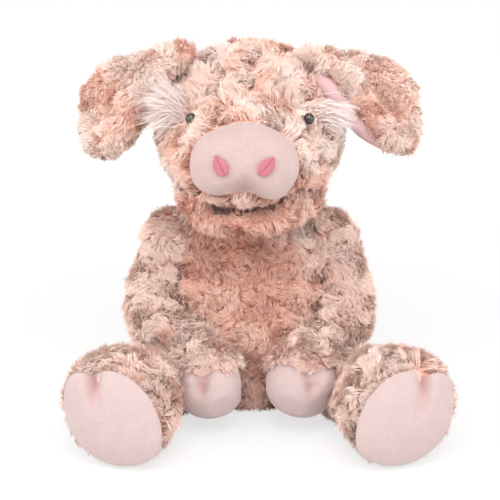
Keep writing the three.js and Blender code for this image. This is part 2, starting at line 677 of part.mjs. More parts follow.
// Legs, made first, because the arms lie on them.
const legSize = (t) => {
  const size = legRadius + (footRadius - legRadius) * along(footSwellShares, t);
  return size * along(legEndShares, t);
};
const legs = sides.map(([name, side]) => {
  const facing = V(side * Math.sin(radians(soleToe)), -Math.cos(radians(soleToe)), 0);
  const path = curve([
    V(side * hipApart, -hipForward, hipHeight),
    V(side * kneeApart + lapShift / 2, -kneeForward, kneeHeight),
    V(side * footApart + lapShift, -footForward, footHeight).addScaledVector(facing, -footLength),
    V(side * footApart + lapShift, -footForward, footHeight),
  ]);
  const form = (inset, detail) => limbForm(path, legSize, V(0, 0, 1), inset, detail);
  const end = path.getPoint(1);
  const soleForm = (inset, backwards) => {
    const section = (t) => {
      const edge = along(soleEdgeShares, t);
      const depth = (soleDepth + backwards - inset) * along(soleDepthShares, t);
      return {
        middle: V(0, soleDepth - soleCrown + backwards - depth, 0),
        side: V((soleHalfWidth - inset) * edge, 0, 0),
        rise: V(0, 0, (soleHalfHeight - inset) * edge),
      };
    };
    const toes = (a) => notched(a, toeCleft, Math.PI / 2, toeCleftWidth);
    return solid(swellingForm(section, medium, toes))
      .rotate([0, 0, side * soleToe])
      .translate(end.x, end.y, end.z + soleRise);
  };
  const hip = V(side * hipApart, -hipForward, hipHeight);
  const swings = swing(-legDrop, [1, 0, 0]);
  const outer = clearedOf(form(0, fine), torsoCutter, hip, swings).subtract(underFloor);
  const soleRoom = soleForm(-seamGap, seamGap);
  const sole = soleForm(0, 0).subtract(soleForm(velourThickness, velourThickness));
  const soleFilled = soleForm(velourThickness + seamGap, velourThickness)
    .intersect(soleForm(0, 0))
    .add(soleForm(plushThickness, 2 * plushThickness));
  const opening = soleForm(plushThickness - seamGap, 2 * plushThickness);
  const bag = outer.subtract(form(plushThickness, rough)).subtract(soleRoom).subtract(opening);
  const bagged = form(plushThickness + seamGap, rough).intersect(outer).subtract(soleRoom);
  addPiece(`leg_skin_${name}`, bag, plush);
  addPiece(`leg_stuffing_${name}`, bagged.add(soleFilled), fibre);
  addPiece(`sole_${name}`, sole, velour);
  const cutter = form(-swingGap, fine);
  const drops = swing(legDrop, [1, 0, 0]).map((angles) => turned(cutter, hip, angles));
  return { cutter, dropped: drops.reduce((sum, drop) => sum.add(drop)) };
});

// Arms, cut by whatever they swing past: the torso, the head and the leg that they lie on.
const armSize = (t) => armRadius * along(armWidthShares, t);
const cleft = (a, t) => notched(a, along(cleftShares, t), cleftAt, cleftWidth);
sides.forEach(([name, side], i) => {
  const path = curve([
    V(side * shoulderApart, shoulderBack, shoulderHeight),
    V(side * elbowApart, -elbowForward, elbowHeight),
    V(side * wristApart + lapShift / 2, -wristForward, wristHeight),
    V(side * hoofApart + lapShift, -hoofForward, hoofHeight),
  ]);
  const form = (inset, detail) => limbForm(path, armSize, V(1, 0, 0), inset, detail, cleft);
  const shoulder = V(side * shoulderApart, shoulderBack, shoulderHeight - shoulderDrop);
  const clear = [torsoCutter, legs[i].dropped].reduce(
    (left, still) => clearedOf(left, still, shoulder, swing(armRaise, [1, 0, 0], closeStep)),
    form(0, fine),
  );
  const cuff = path.getPoint(cuffShare);
  const ahead = path.getTangent(cuffShare);
  const level = ahead.dot(cuff);
  const hollow = form(plushThickness, rough);
  const [, sleeve] = clear.subtract(hollow).splitByPlane(ahead.toArray(), level);
  const velourOuter = form(plushThickness - velourThickness, fine).intersect(clear);
  const hoof = velourOuter.subtract(hollow).trimByPlane(ahead.toArray(), level + seamGap);
  addPiece(`arm_skin_${name}`, sleeve, plush);
  addPiece(`arm_stuffing_${name}`, form(plushThickness + seamGap, rough).intersect(clear), fibre);
  addPiece(`hoof_${name}`, hoof, velour);
});

// Tail: a tapering curl, seated on the back of the torso.
const tailSeat = surfaceAt(torsoOuter, V(0, torsoHalfDepth + overrun, tailHeight), V(0, -1, 0));
const tailPath = new THREE.Curve();
tailPath.getPoint = (t, target = V(0, 0, 0)) => {
  const turn = 2 * Math.PI * tailTurns * t;
  const swell = Math.min(1, t * tailTurns * 2);
  return target.set(
    tailCurlRadius * swell * Math.sin(turn),
    tailSeat.y - tailRadius + (tailReach + tailRadius) * t,
    tailSeat.z + tailCurlRadius * swell * (1 - Math.cos(turn)),
  );
};
const tailSize = (t) => tailRadius * along(tailWidthShares, t);
const curl = limbForm(tailPath, tailSize, V(0, 0, 1), 0, tailDetail);
const tailSwings = [...swing(tailWag, [0, 0, 1]), ...swing(-tailWag, [0, 0, 1])];
addPiece('tail', clearedOf(curl, torsoCutter, tailSeat, tailSwings), velour);

export default pig;
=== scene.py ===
# %% [markdown]
# # A sitting plush pig
# The toy is sewn from long mottled plush, with smooth velour for the snout, the hooves, the soles
# and the inside of the ears. This lesson dresses the CAD model of the toy: each sewn bag gets a
# padded cloth form, and then the pile grows out of that cloth as many thousands of small mesh
# locks. All lengths are in metres, and the pig faces the -Y axis.

# %% Load the CAD frame
import json
import math

import bmesh
import bpy
import numpy as np
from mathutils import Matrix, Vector, kdtree, noise
from mathutils.bvhtree import BVHTree

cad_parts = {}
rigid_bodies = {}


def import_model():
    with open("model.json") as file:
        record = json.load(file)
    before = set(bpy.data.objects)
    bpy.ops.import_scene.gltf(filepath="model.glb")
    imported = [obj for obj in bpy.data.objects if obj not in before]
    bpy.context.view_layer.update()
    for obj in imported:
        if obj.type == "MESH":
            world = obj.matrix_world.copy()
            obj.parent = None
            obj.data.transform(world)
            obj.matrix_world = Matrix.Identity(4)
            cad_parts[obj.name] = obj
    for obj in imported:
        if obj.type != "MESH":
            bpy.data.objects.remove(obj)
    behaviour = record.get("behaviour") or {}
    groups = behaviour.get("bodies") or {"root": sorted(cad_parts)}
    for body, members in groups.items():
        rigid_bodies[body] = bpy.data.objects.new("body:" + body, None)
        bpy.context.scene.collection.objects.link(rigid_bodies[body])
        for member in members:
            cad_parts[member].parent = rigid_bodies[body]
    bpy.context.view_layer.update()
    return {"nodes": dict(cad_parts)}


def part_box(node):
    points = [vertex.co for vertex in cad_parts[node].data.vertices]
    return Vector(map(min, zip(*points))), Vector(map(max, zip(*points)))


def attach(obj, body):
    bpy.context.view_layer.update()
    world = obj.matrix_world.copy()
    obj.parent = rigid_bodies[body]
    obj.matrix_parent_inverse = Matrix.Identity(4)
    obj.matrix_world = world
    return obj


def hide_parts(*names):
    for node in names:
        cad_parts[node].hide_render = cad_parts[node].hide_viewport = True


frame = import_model()
scene = bpy.context.scene
MM = 0.001
TURNS = {"left": 1, "right": -1}
print("CAD nodes:", len(frame["nodes"]))

# %% [markdown]
# ## Camera
# The photograph looks at the toy from straight ahead and a little above, so the camera stands
# 0.8 m from the chest and 16 degrees up. A long lens keeps the snout from looking too big.

# %% Camera
CAMERA_DISTANCE = 0.8
CAMERA_RISE = math.radians(16)
CAMERA_TARGET = Vector((0, 0, 0.1163))
CAMERA_LENS = 72.5


def make_camera():
    """Adds the camera at the photograph's viewing angle."""
    back = Vector((0, -math.cos(CAMERA_RISE), math.sin(CAMERA_RISE)))
    bpy.ops.object.camera_add(location=CAMERA_TARGET + back * CAMERA_DISTANCE)
    camera = bpy.context.object
    camera.rotation_euler = (-back).to_track_quat("-Z", "Y").to_euler()
    camera.data.lens = CAMERA_LENS
    scene.camera = camera


make_camera()

# %% [markdown]
# ## Helpers for modelling
# An operator acts on whatever is selected, so each helper first selects one object alone. A sewn
# form starts as a copy of the CAD solid, is remeshed into even cells, and is shaped from there.

# %% Helpers for modelling
MERGE = 0.01 * MM
TINY = 1e-12
SMOOTH_SHARE = 0.5


def only(piece):
    """Selects this object alone and makes it active."""
    bpy.ops.object.select_all(action="DESELECT")
    piece.select_set(True)
    bpy.context.view_layer.objects.active = piece
    return piece


def linked(name, data):
    """A new object that holds this mesh or curve."""
    made = bpy.data.objects.new(name, data)
    bpy.context.collection.objects.link(made)
    return made


def joined(piece, extra):
    """Joins the extra objects into the piece."""
    only(piece)
    for other in extra:
        other.select_set(True)
    bpy.ops.object.join()
    return piece


def edited(piece, *works):
    """Selects the whole mesh of one object in edit mode and runs these operators on it."""
    only(piece)
    bpy.ops.object.mode_set(mode="EDIT")
    bpy.ops.mesh.select_all(action="SELECT")
    for work, settings in works:
        work(**settings)
    bpy.ops.object.mode_set(mode="OBJECT")
    return piece


def cad_copy(name, *nodes):
    """One new object with the meshes of these CAD nodes, their loose triangles merged."""
    copies = [linked(name, frame["nodes"][node].data.copy()) for node in nodes]
    made = joined(copies[0], copies[1:]) if len(copies) > 1 else copies[0]
    made.name = name
    made.data.materials.clear()
    return edited(made, (bpy.ops.mesh.remove_doubles, {"threshold": MERGE}))


def modified(piece, kind, **settings):
    """Adds one modifier with these settings and applies it."""
    only(piece)
    bpy.ops.object.modifier_add(type=kind)
    modifier = piece.modifiers[-1]
    for name, value in settings.items():
        setattr(modifier, name, value)
    bpy.ops.object.modifier_apply(modifier=modifier.name)
    return piece


def remeshed(piece, cell):
    """Rebuilds the surface from even cells of this size, which also drops hidden inner walls."""
    return modified(piece, "REMESH", mode="VOXEL", voxel_size=cell)


def smoothed(piece, repeats):
    """Evens the surface out, as stretched cloth does."""
    return modified(piece, "SMOOTH", factor=SMOOTH_SHARE, iterations=repeats)


def rounded(piece):
    """Splits each face into four and rounds the surface."""
    return modified(piece, "SUBSURF", levels=1, render_levels=1)


def swollen(piece, distance):
    """Moves the surface out by this distance, or in where it is negative."""
    return modified(piece, "DISPLACE", strength=distance, mid_level=0)


def places_of(piece, kind="co"):
    """The vertices of a mesh, or their normals, as an array of points."""
    found = np.empty(len(piece.data.vertices) * 3, np.float32)
    piece.data.vertices.foreach_get(kind, found)
    return found.reshape(-1, 3).astype(float)


def normals_of(piece):
    """The vertex normals of a mesh."""
    return places_of(piece, "normal")


def set_places(piece, places):
    """Writes the points back into the mesh."""
    piece.data.vertices.foreach_set("co", places.astype(np.float32).ravel())
    piece.data.update()


def store(piece, name, values):
    """Keeps one number for each vertex under this name, for the materials to read."""
    layer = piece.data.attributes.get(name) or piece.data.attributes.new(name, "FLOAT", "POINT")
    layer.data.foreach_set("value", np.asarray(values, np.float32))


def shade_smooth(piece):
    """Smooth shading all over."""
    only(piece)
    bpy.ops.object.shade_smooth()
    return piece


def dressed(piece, material, body, node):
    """Puts a finished piece on its body, in place of the CAD node that it stands for."""
    piece.data.materials.append(material)
    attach(piece, body)
    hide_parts(node)
    return piece


def unit(vectors):
    """The same directions at length one."""
    return vectors / np.maximum(np.linalg.norm(vectors, axis=1, keepdims=True), TINY)


def fading(gap, width):
    """One where the gap is nought, and soon nought beyond this width."""
    return np.exp(-((gap / width) ** 2))


def ramp(value, start, span):
    """Rises from nought at the start to one at the end of the span."""
    return np.clip((value - start) / span, 0, 1)


# %% [markdown]
# ## Padding by simulation
# The filling presses the cloth outwards everywhere. Blender's Cloth with a little pressure and no
# gravity does the same. How far a point may move is capped, so that the seams stay where they are.

# %% Padding by simulation
PRESSURE = 4
SIM_FRAMES = 20
SIM_QUALITY = 4


def stuffed(piece, cap):
    """Presses the closed cloth outwards by simulation, no point further than the cap."""
    rest = places_of(piece)
    only(piece)
    bpy.ops.object.modifier_add(type="CLOTH")
    cloth = piece.modifiers[-1]
    cloth.settings.quality = SIM_QUALITY
    cloth.settings.use_pressure = True
    cloth.settings.uniform_pressure_force = PRESSURE
    cloth.settings.effector_weights.gravity = 0
    for number in range(1, SIM_FRAMES + 1):
        scene.frame_set(number)
    bpy.ops.object.modifier_apply(modifier=cloth.name)
    scene.frame_set(1)
    moved = places_of(piece) - rest
    far = np.linalg.norm(moved, axis=1, keepdims=True)
    set_places(piece, rest + moved * np.minimum(1, cap / np.maximum(far, MERGE)))
    print(piece.name, "swelled by up to", round(float(far.max()) / MM, 1), "mm before the cap")
    return piece


# %% [markdown]
# ## Colours of the plush
# The pile is dyed in soft patches: grey mauve, cream, blush and salmon. One number, the tone, says
# where a lock lies on that scale, and a second, the height along the lock, darkens its root with
# painted shade and lightens its tip with a painted highlight. Both are stored as the UV map of the
# pile, so the colour follows each lock.

# %% Colours of the plush
# At nought the tone is the dark brown of painted shade in the mouth's crease. Towards one it is a
# deep rose-brown, used both as redder dye and as painted shade on the chest, the jaw and the ears'
# valleys.
PILE_TONES = (
    (0.00, (0.28, 0.155, 0.13)),
    (0.08, (0.62, 0.50, 0.47)),
    (0.18, (0.89, 0.80, 0.78)),
    (0.34, (0.97, 0.90, 0.87)),
    (0.50, (0.995, 0.94, 0.91)),
    (0.64, (0.99, 0.90, 0.86)),
    (0.78, (0.98, 0.84, 0.78)),
    (0.90, (0.95, 0.74, 0.66)),
    (1.00, (0.68, 0.43, 0.37)),
)
# Painted shade darkens the root of each lock, and a painted highlight lightens its tip.
ROOT_SHADE = (0.97, 0.89, 0.86)
TIP_HIGHLIGHT = (1.0, 0.93, 0.88)
TIP_SHARE = 0.35
# How fast the painted shade of the root and the painted highlight of the tip fade along a lock.
ROOT_POWER = 1.3
TIP_POWER = 3.0
# The bare cloth takes the pile's colour at this height along a lock, its painted shade included, so
# that the gaps between the locks look shadowed.
BACKING_SHADE_HEIGHT = 0.4
KNIT_SCALE = 900
KNIT_STRENGTH = 0.5
KNIT_HEIGHT = 0.4 * MM
UV_NAME = "OFBake"
CLOTH_SPECULAR = 0.25
HARD_SPECULAR = 0.5


def linear(colour):
    """A colour as the screen shows it, turned into the linear numbers that Blender mixes."""
    mixed = [c / 12.92 if c <= 0.04045 else ((c + 0.055) / 1.055) ** 2.4 for c in colour]
    return (*mixed, 1)


def new_group(name, inputs, outputs):
    """An empty shader node group with these sockets, each a name, a kind and a first value."""
    group = bpy.data.node_groups.new(name, "ShaderNodeTree")
    for socket, kind, value in inputs:
        made = group.interface.new_socket(socket, in_out="INPUT", socket_type=kind)
        if value is not None:
            made.default_value = value
    for socket, kind in outputs:
        group.interface.new_socket(socket, in_out="OUTPUT", socket_type=kind)
    start = group.nodes.new("NodeGroupInput")
    end = group.nodes.new("NodeGroupOutput")
    return group, start, end


def fed(tree, node, inputs):
    """Gives a node its inputs by name or number: each a plain value, or a socket to link."""
    for name, value in inputs.items():
        if isinstance(value, bpy.types.NodeSocket):
            tree.links.new(value, node.inputs[name])
        else:
            node.inputs[name].default_value = value
    return node


def added(tree, kind, inputs, **settings):
    """Adds one node with these settings and inputs."""
    node = tree.nodes.new(kind)
    for name, value in settings.items():
        setattr(node, name, value)
    return fed(tree, node, inputs)


def mix_colours(tree, blend, share, first, second):
    """A colour mix node. Each of the three may be a socket or a plain value."""
    inputs = {0: share, 6: first, 7: second}
    settings = {"data_type": "RGBA", "blend_type": blend, "clamp_factor": True}
    return added(tree, "ShaderNodeMix", inputs, **settings).outputs[2]


def calculated(tree, operation, first, second):
    """A math node. Each input may be a socket or a number."""
    return added(tree, "ShaderNodeMath", {0: first, 1: second}, operation=operation).outputs[0]


def own_place(tree):
    """The point of the piece in its own space."""
    return added(tree, "ShaderNodeTexCoord", {}).outputs["Object"]


def noise_over(tree, place, scale, detail=2.0):
    """A noise in space."""
    inputs = {"Vector": place, "Scale": scale, "Detail": detail}
    return added(tree, "ShaderNodeTexNoise", inputs).outputs[0]


def mapped(tree, value, first, last):
    """A value mapped from one pair of ends to another."""
    ends = {"From Min": first[0], "From Max": first[1], "To Min": last[0], "To Max": last[1]}
    return added(tree, "ShaderNodeMapRange", {"Value": value, **ends}).outputs[0]


def bumped(tree, height, strength, distance):
    """A normal that is raised by a height."""
    inputs = {"Height": height, "Strength": strength, "Distance": distance}
    return added(tree, "ShaderNodeBump", inputs).outputs[0]


def along_lock(tree):
    """The tone and the height along a lock, which its UV map holds."""
    uv = added(tree, "ShaderNodeUVMap", {}, uv_map=UV_NAME)
    return added(tree, "ShaderNodeSeparateXYZ", {0: uv.outputs[0]}).outputs


def make_pile_colour_group():
    """Tone and height along a lock in; dyed colour with painted root shade and tip highlight out.
    """
    group, start, end = new_group(
        "Dyed and shaded pile",
        [("Tone", "NodeSocketFloat", 0.5), ("Along", "NodeSocketFloat", 0.5)],
        [("Color", "NodeSocketColor")],
    )
    along = start.outputs["Along"]
    ramp_node = added(group, "ShaderNodeValToRGB", {0: start.outputs["Tone"]})
    stops = ramp_node.color_ramp.elements
    stops[0].color = linear(PILE_TONES[0][1])
    stops[1].color = linear(PILE_TONES[-1][1])
    for place, colour in PILE_TONES[1:-1]:
        stops.new(place).color = linear(colour)
    depth = calculated(group, "POWER", calculated(group, "SUBTRACT", 1.0, along), ROOT_POWER)
    shaded = mix_colours(group, "MULTIPLY", depth, ramp_node.outputs[0], linear(ROOT_SHADE))
    tip = calculated(group, "MULTIPLY", calculated(group, "POWER", along, TIP_POWER), TIP_SHARE)
    fed(group, end, {"Color": mix_colours(group, "MIX", tip, shaded, linear(TIP_HIGHLIGHT))})
    return group


pile_colour_group = make_pile_colour_group()


def new_material(name, roughness, sheen=0.0, sheen_roughness=0.5):
    """A material with a Principled BSDF whose plain numbers are set on its own sockets."""
    material = bpy.data.materials.new(name)
    material.use_nodes = True
    shader = material.node_tree.nodes["Principled BSDF"]
    shader.inputs["Roughness"].default_value = roughness
    shader.inputs["Sheen Weight"].default_value = sheen
    shader.inputs["Sheen Roughness"].default_value = sheen_roughness
    shader.inputs["Specular IOR Level"].default_value = CLOTH_SPECULAR
    return material, material.node_tree, shader


def make_pile_material():
    """The locks of the pile read their tone and their height from the UV map."""
    material, tree, shader = new_material("Plush pile", roughness=0.8, sheen=0.15)
    apart = along_lock(tree)
    inputs = {"Tone": apart["X"], "Along": apart["Y"]}
    dyed = added(tree, "ShaderNodeGroup", {}, node_tree=pile_colour_group)
    # On top of the dye, the group paints shade at each lock's root and a highlight at its tip.
    fed(tree, shader, {"Base Color": fed(tree, dyed, inputs).outputs[0]})
    return material


def make_backing_material():
    """The knitted cloth under the pile, with the colour and the painted shade of the pile's roots.
    """
    material, tree, shader = new_material("Plush backing", roughness=0.9, sheen=0.1)
    tone = added(tree, "ShaderNodeAttribute", {}, attribute_name="tone")
    inputs = {"Tone": tone.outputs["Fac"], "Along": BACKING_SHADE_HEIGHT}
    dyed = added(tree, "ShaderNodeGroup", {}, node_tree=pile_colour_group)
    grain = noise_over(tree, own_place(tree), KNIT_SCALE)
    knit = bumped(tree, grain, KNIT_STRENGTH, KNIT_HEIGHT)
    fed(tree, shader, {"Base Color": fed(tree, dyed, inputs).outputs[0], "Normal": knit})
    return material


pile_material = make_pile_material()
backing_material = make_backing_material()

# %% [markdown]
# ## Where each patch of colour lies
# The dye patches are about as wide as a thumb and run into each other. Smooth noise at two scales
# gives such a pattern anywhere in space, so neighbouring panels match across their seams. The
# clearest patches of the front are placed one by one, as seen from the front.
# Some of these patches are painted shade on the chest under the chin, and painted light on the
# sleeve tops.

# %% Where each patch of colour lies
PATCH_SCALE = 36
MOTTLE_SCALE = 95
TONE_MIDDLE = 0.66
PATCH_SWING = 0.25
MOTTLE_SWING = 0.2
LEAST_TONE = 0.3
MOST_TONE = 0.9
# Where in the noise the pattern is taken from.
PATCH_SHIFT = Vector((3.1, 7.7, 1.9))
MOTTLE_SHIFT = Vector((9.4, 2.3, 5.6))
# Each row: x, z and radius in mm, then the tone and how strongly it covers the noise.
DYE_LIGHT_AND_SHADE_PATCHES = (
    # The first three rows, on the chest under the chin, are partly the chest's own darker dye and
    # partly painted shade under the head.
    (-4, 136, 42, 0.97, 0.80),
    (-26, 118, 20, 0.94, 0.60),
    (38, 138, 12, 0.05, 0.70),
    (-17, 90, 11, 0.16, 0.75),
    (-4, 64, 12, 0.18, 0.75),
    (11, 83, 12, 0.93, 0.80),
    (0, 76, 45, 0.88, 0.40),
    (-77, 91, 11, 0.40, 0.55),
    # These three rows make the sleeve tops paler: partly their own pale pink, and partly painted
    # light where the tops face the lamps.
    (-54, 80, 18, 0.54, 0.75),
    (-33, 65, 14, 0.56, 0.75),
    (44, 74, 18, 0.58, 0.65),
    (72, 80, 14, 0.84, 0.70),
    (74, 128, 14, 0.86, 0.60),
    (-51, 209, 11, 0.86, 0.60),
    (-52, 186, 10, 0.20, 0.50),
    (-11, 262, 8, 0.88, 0.70),
    (11, 259, 8, 0.88, 0.50),
    (18, 250, 8, 0.18, 0.60),
    (-26, 266, 9, 0.15, 0.60),
    (47, 205, 10, 0.25, 0.60),
    (28, 224, 7, 0.25, 0.50),
    (58, 178, 12, 0.80, 0.60),
    (-97, 262, 13, 0.22, 0.60),
    (-104, 240, 16, 0.74, 0.70),
    (-66, 268, 12, 0.50, 0.80),
    (-78, 252, 10, 0.52, 0.80),
    (-88, 230, 10, 0.84, 0.60),
    (-104, 210, 12, 0.58, 0.60),
    (50, 272, 12, 0.48, 0.70),
    (69, 258, 9, 0.30, 0.60),
    (84, 234, 11, 0.78, 0.70),
    (116, 212, 11, 0.32, 0.60),
    (104, 250, 17, 0.80, 0.70),
    (-104, 65, 9, 0.12, 0.70),
    (86, 48, 10, 0.12, 0.60),
    (100, 64, 8, 0.25, 0.50),
)


def tone_at(place):
    """The tone at a point in space, before the rosette's own share is added. A few front patches
    add painted shade on the chest and painted light on the sleeves.
    """
    point = Vector(place)
    patch = noise.noise(point * PATCH_SCALE + PATCH_SHIFT)
    mottle = noise.noise(point * MOTTLE_SCALE + MOTTLE_SHIFT)
    tone = TONE_MIDDLE + PATCH_SWING * patch + MOTTLE_SWING * mottle
    tone = min(MOST_TONE, max(LEAST_TONE, tone))
    if point.y < 0:
        for x, z, radius, own, strength in DYE_LIGHT_AND_SHADE_PATCHES:
            gap = math.hypot(point.x / MM - x, point.z / MM - z)
            share = strength * math.exp(-((gap / radius) ** 2))
            tone += (own - tone) * share
    return tone


# %% [markdown]
# ## Growing the pile
# Real pile is woven so that it swirls in small rosettes. Here rosette centres are spread over the
# cloth first. Each lock leans away from its rosette's centre, turned a little, and small groups of
# locks draw together at their tips. A lock is a narrow blade of five triangles that bends as it
# rises.

# %% Growing the pile
LOCK_BEND = 0.45
LOCK_TIPS = 3
LOCK_POINTS = 7
LOCK_CORNERS = np.array((0, 1, 3, 2, 2, 3, 4, 2, 3, 5, 2, 3, 6))
LOCK_STARTS = np.array((0, 4, 7, 10))
# For each point of a lock: its height along the lock, and its side.
LOCK_HEIGHTS = np.array((0.01, 0.01, LOCK_BEND, LOCK_BEND, 0.99, 0.99, 0.99))
LOCK_SIDES = np.array((-1, 1, -1, 1, -1, 0, 1))
LOCK_ROLL = 0.8
ROOT_HALF = 0.4
BEND_HALF = 0.5
TIP_REACH = (0.78, 1.06)
TIP_STRAY = 0.45
TIP_SPREAD = 1.2 * MM
TONE_ENDS = (0.01, 0.99)
TONE_STEP = 0.002
TONE_STRAY = 0.035
PANEL_LOCKS = 39000
# A rosette's locks turn away from its centre by an angle in this range, one way round or the other.
ROSETTE_GAP = 19 * MM
ROSETTE_TURN = (1.6, 2.5)
ROSETTE_SWING = 0.06
LEFT_CHANCE = 0.5
SWIRL_SHARE = 0.62
LOCKS_PER_CLUMP = 9
CLUMP_LENGTH = (0.8, 1.2)
CLUMP_SHARE = 0.2
PILE_LENGTH = 9 * MM
EAR_PILE_LENGTH = 6.5 * MM
PILE_LIFT = 0.7
LIFT_STRAY = 0.1
LIFT_ENDS = (0.15, 1.2)
LOCK_LENGTH = (0.75, 1.1)
LOCK_STRAY = 0.1
LOCK_WIDTH = 0.55 * MM
WIDTH_RANGE = (0.7, 1.25)
BEND_RISE = 0.16
BEND_STRAY = 0.05
RIM_REACH = 18 * MM
RIM_FADE = 12 * MM
RIM_RISE = 0.3
FLOOR_GAP = 0.3 * MM


def triangles_of(piece):
    """Corner points and corner normals of every triangle of a mesh."""
    mesh = piece.data
    mesh.calc_loop_triangles()
    corners = np.empty(len(mesh.loop_triangles) * 3, np.int32)
    mesh.loop_triangles.foreach_get("vertices", corners)
    corners = corners.reshape(-1, 3)
    return places_of(piece)[corners], normals_of(piece)[corners]


def scattered(triangles, weight, count, draws):
    """Random points on the triangles, more of them where the weight is greater."""
    points, normals = triangles
    edges = np.cross(points[:, 1] - points[:, 0], points[:, 2] - points[:, 0])
    area = np.linalg.norm(edges, axis=1) / 2 * weight
    chosen = draws.choice(len(area), size=count, p=area / area.sum())
    across = np.sqrt(draws.random((count, 1)))
    along = draws.random((count, 1))
    shares = np.hstack((1 - across, across * (1 - along), across * along))[:, :, None]
    place = (points[chosen] * shares).sum(1)
    normal = unit((normals[chosen] * shares).sum(1))
    return place, normal


def spaced(places, gap):
    """The numbers of points that keep at least this gap from each other, first come first kept."""
    kept = []
    cells = {}
    for index, place in enumerate(places):
        cell = tuple(np.floor(place / gap).astype(int))
        near = [
            other
            for x in (-1, 0, 1)
            for y in (-1, 0, 1)
            for z in (-1, 0, 1)
            for other in cells.get((cell[0] + x, cell[1] + y, cell[2] + z), ())
        ]
        if all(np.linalg.norm(places[other] - place) > gap for other in near):
            kept.append(index)
            cells.setdefault(cell, []).append(index)
    return np.array(kept)


def nearest(places, centres):
    """For each place, the number of the centre that is nearest."""
    tree = kdtree.KDTree(len(centres))
    for index, centre in enumerate(centres):
        tree.insert(centre, index)
    tree.balance()
    return np.array([tree.find(place)[1] for place in places])


def along_surface(vectors, normals):
    """The part of each vector that lies in the surface, at length one."""
    return unit(vectors - normals * (vectors * normals).sum(1, keepdims=True))


def clump_directions(places, normals, comb, draws):
    """Which way the pile leans at each clump: away from a rosette's centre, and with the comb."""
    centres = places[spaced(places, ROSETTE_GAP)]
    owner = nearest(places, centres)
    way = np.where(draws.random(len(centres)) < LEFT_CHANCE, -1, 1)
    turn = way * draws.uniform(*ROSETTE_TURN, len(centres))
    shift = draws.normal(0, ROSETTE_SWING, len(centres))
    out = along_surface(places - centres[owner] + normals * MERGE, normals)
    angle = turn[owner][:, None]
    curl = out * np.cos(angle) + np.cross(normals, out) * np.sin(angle)
    lean = along_surface(comb(places, normals), normals)
    return unit(curl * SWIRL_SHARE + lean * (1 - SWIRL_SHARE)), shift[owner]


def lock_points(roots, normals, tips, bend, width, spread, draws):
    """Points of every lock: two at the root, two where it bends, and its three loose tips."""
    face = unit(np.cross(tips - roots, normals))
    roll = draws.uniform(-LOCK_ROLL, LOCK_ROLL, (len(roots), 1))
    side = unit(face * np.cos(roll) + normals * np.sin(roll))
    middle = roots * (1 - LOCK_BEND) + tips * LOCK_BEND + bend
    rows = [roots - side * width * ROOT_HALF, roots + side * width * ROOT_HALF]
    rows += [middle - side * width * BEND_HALF, middle + side * width * BEND_HALF]
    for tip in range(LOCK_TIPS):
        reach = draws.uniform(*TIP_REACH, (len(roots), 1))
        stray = draws.normal(0, 1, roots.shape) * spread * TIP_STRAY
        rows += [middle + (tips - middle) * reach + (side * spread * (tip - 1) + stray)]
    return np.stack(rows, 1)


def lock_mesh(name, points, tone):
    """Builds one mesh of all the locks, with their tone and height as its UV map."""
    count = len(points)
    step = len(LOCK_CORNERS)
    numbers = np.arange(count)[:, None]
    mesh = bpy.data.meshes.new(name)
    mesh.vertices.add(count * LOCK_POINTS)
    mesh.vertices.foreach_set("co", points.astype(np.float32).ravel())
    mesh.loops.add(count * step)
    corners = LOCK_CORNERS[None] + numbers * LOCK_POINTS
    mesh.loops.foreach_set("vertex_index", corners.astype(np.int32).ravel())
    mesh.polygons.add(count * len(LOCK_STARTS))
    starts = LOCK_STARTS[None] + numbers * step
    mesh.polygons.foreach_set("loop_start", starts.astype(np.int32).ravel())
    mesh.polygons.foreach_set("use_smooth", np.ones(count * len(LOCK_STARTS), bool))
    u = np.clip(tone, *TONE_ENDS)[:, None] + (LOCK_SIDES * TONE_STEP)[None]
    uv = np.stack((u, np.broadcast_to(LOCK_HEIGHTS, u.shape)), 2)
    layer = mesh.uv_layers.new(name=UV_NAME)
    layer.uv.foreach_set("vector", uv[:, LOCK_CORNERS].astype(np.float32).ravel())
    mesh.update(calc_edges=True)
    return linked(name, mesh)


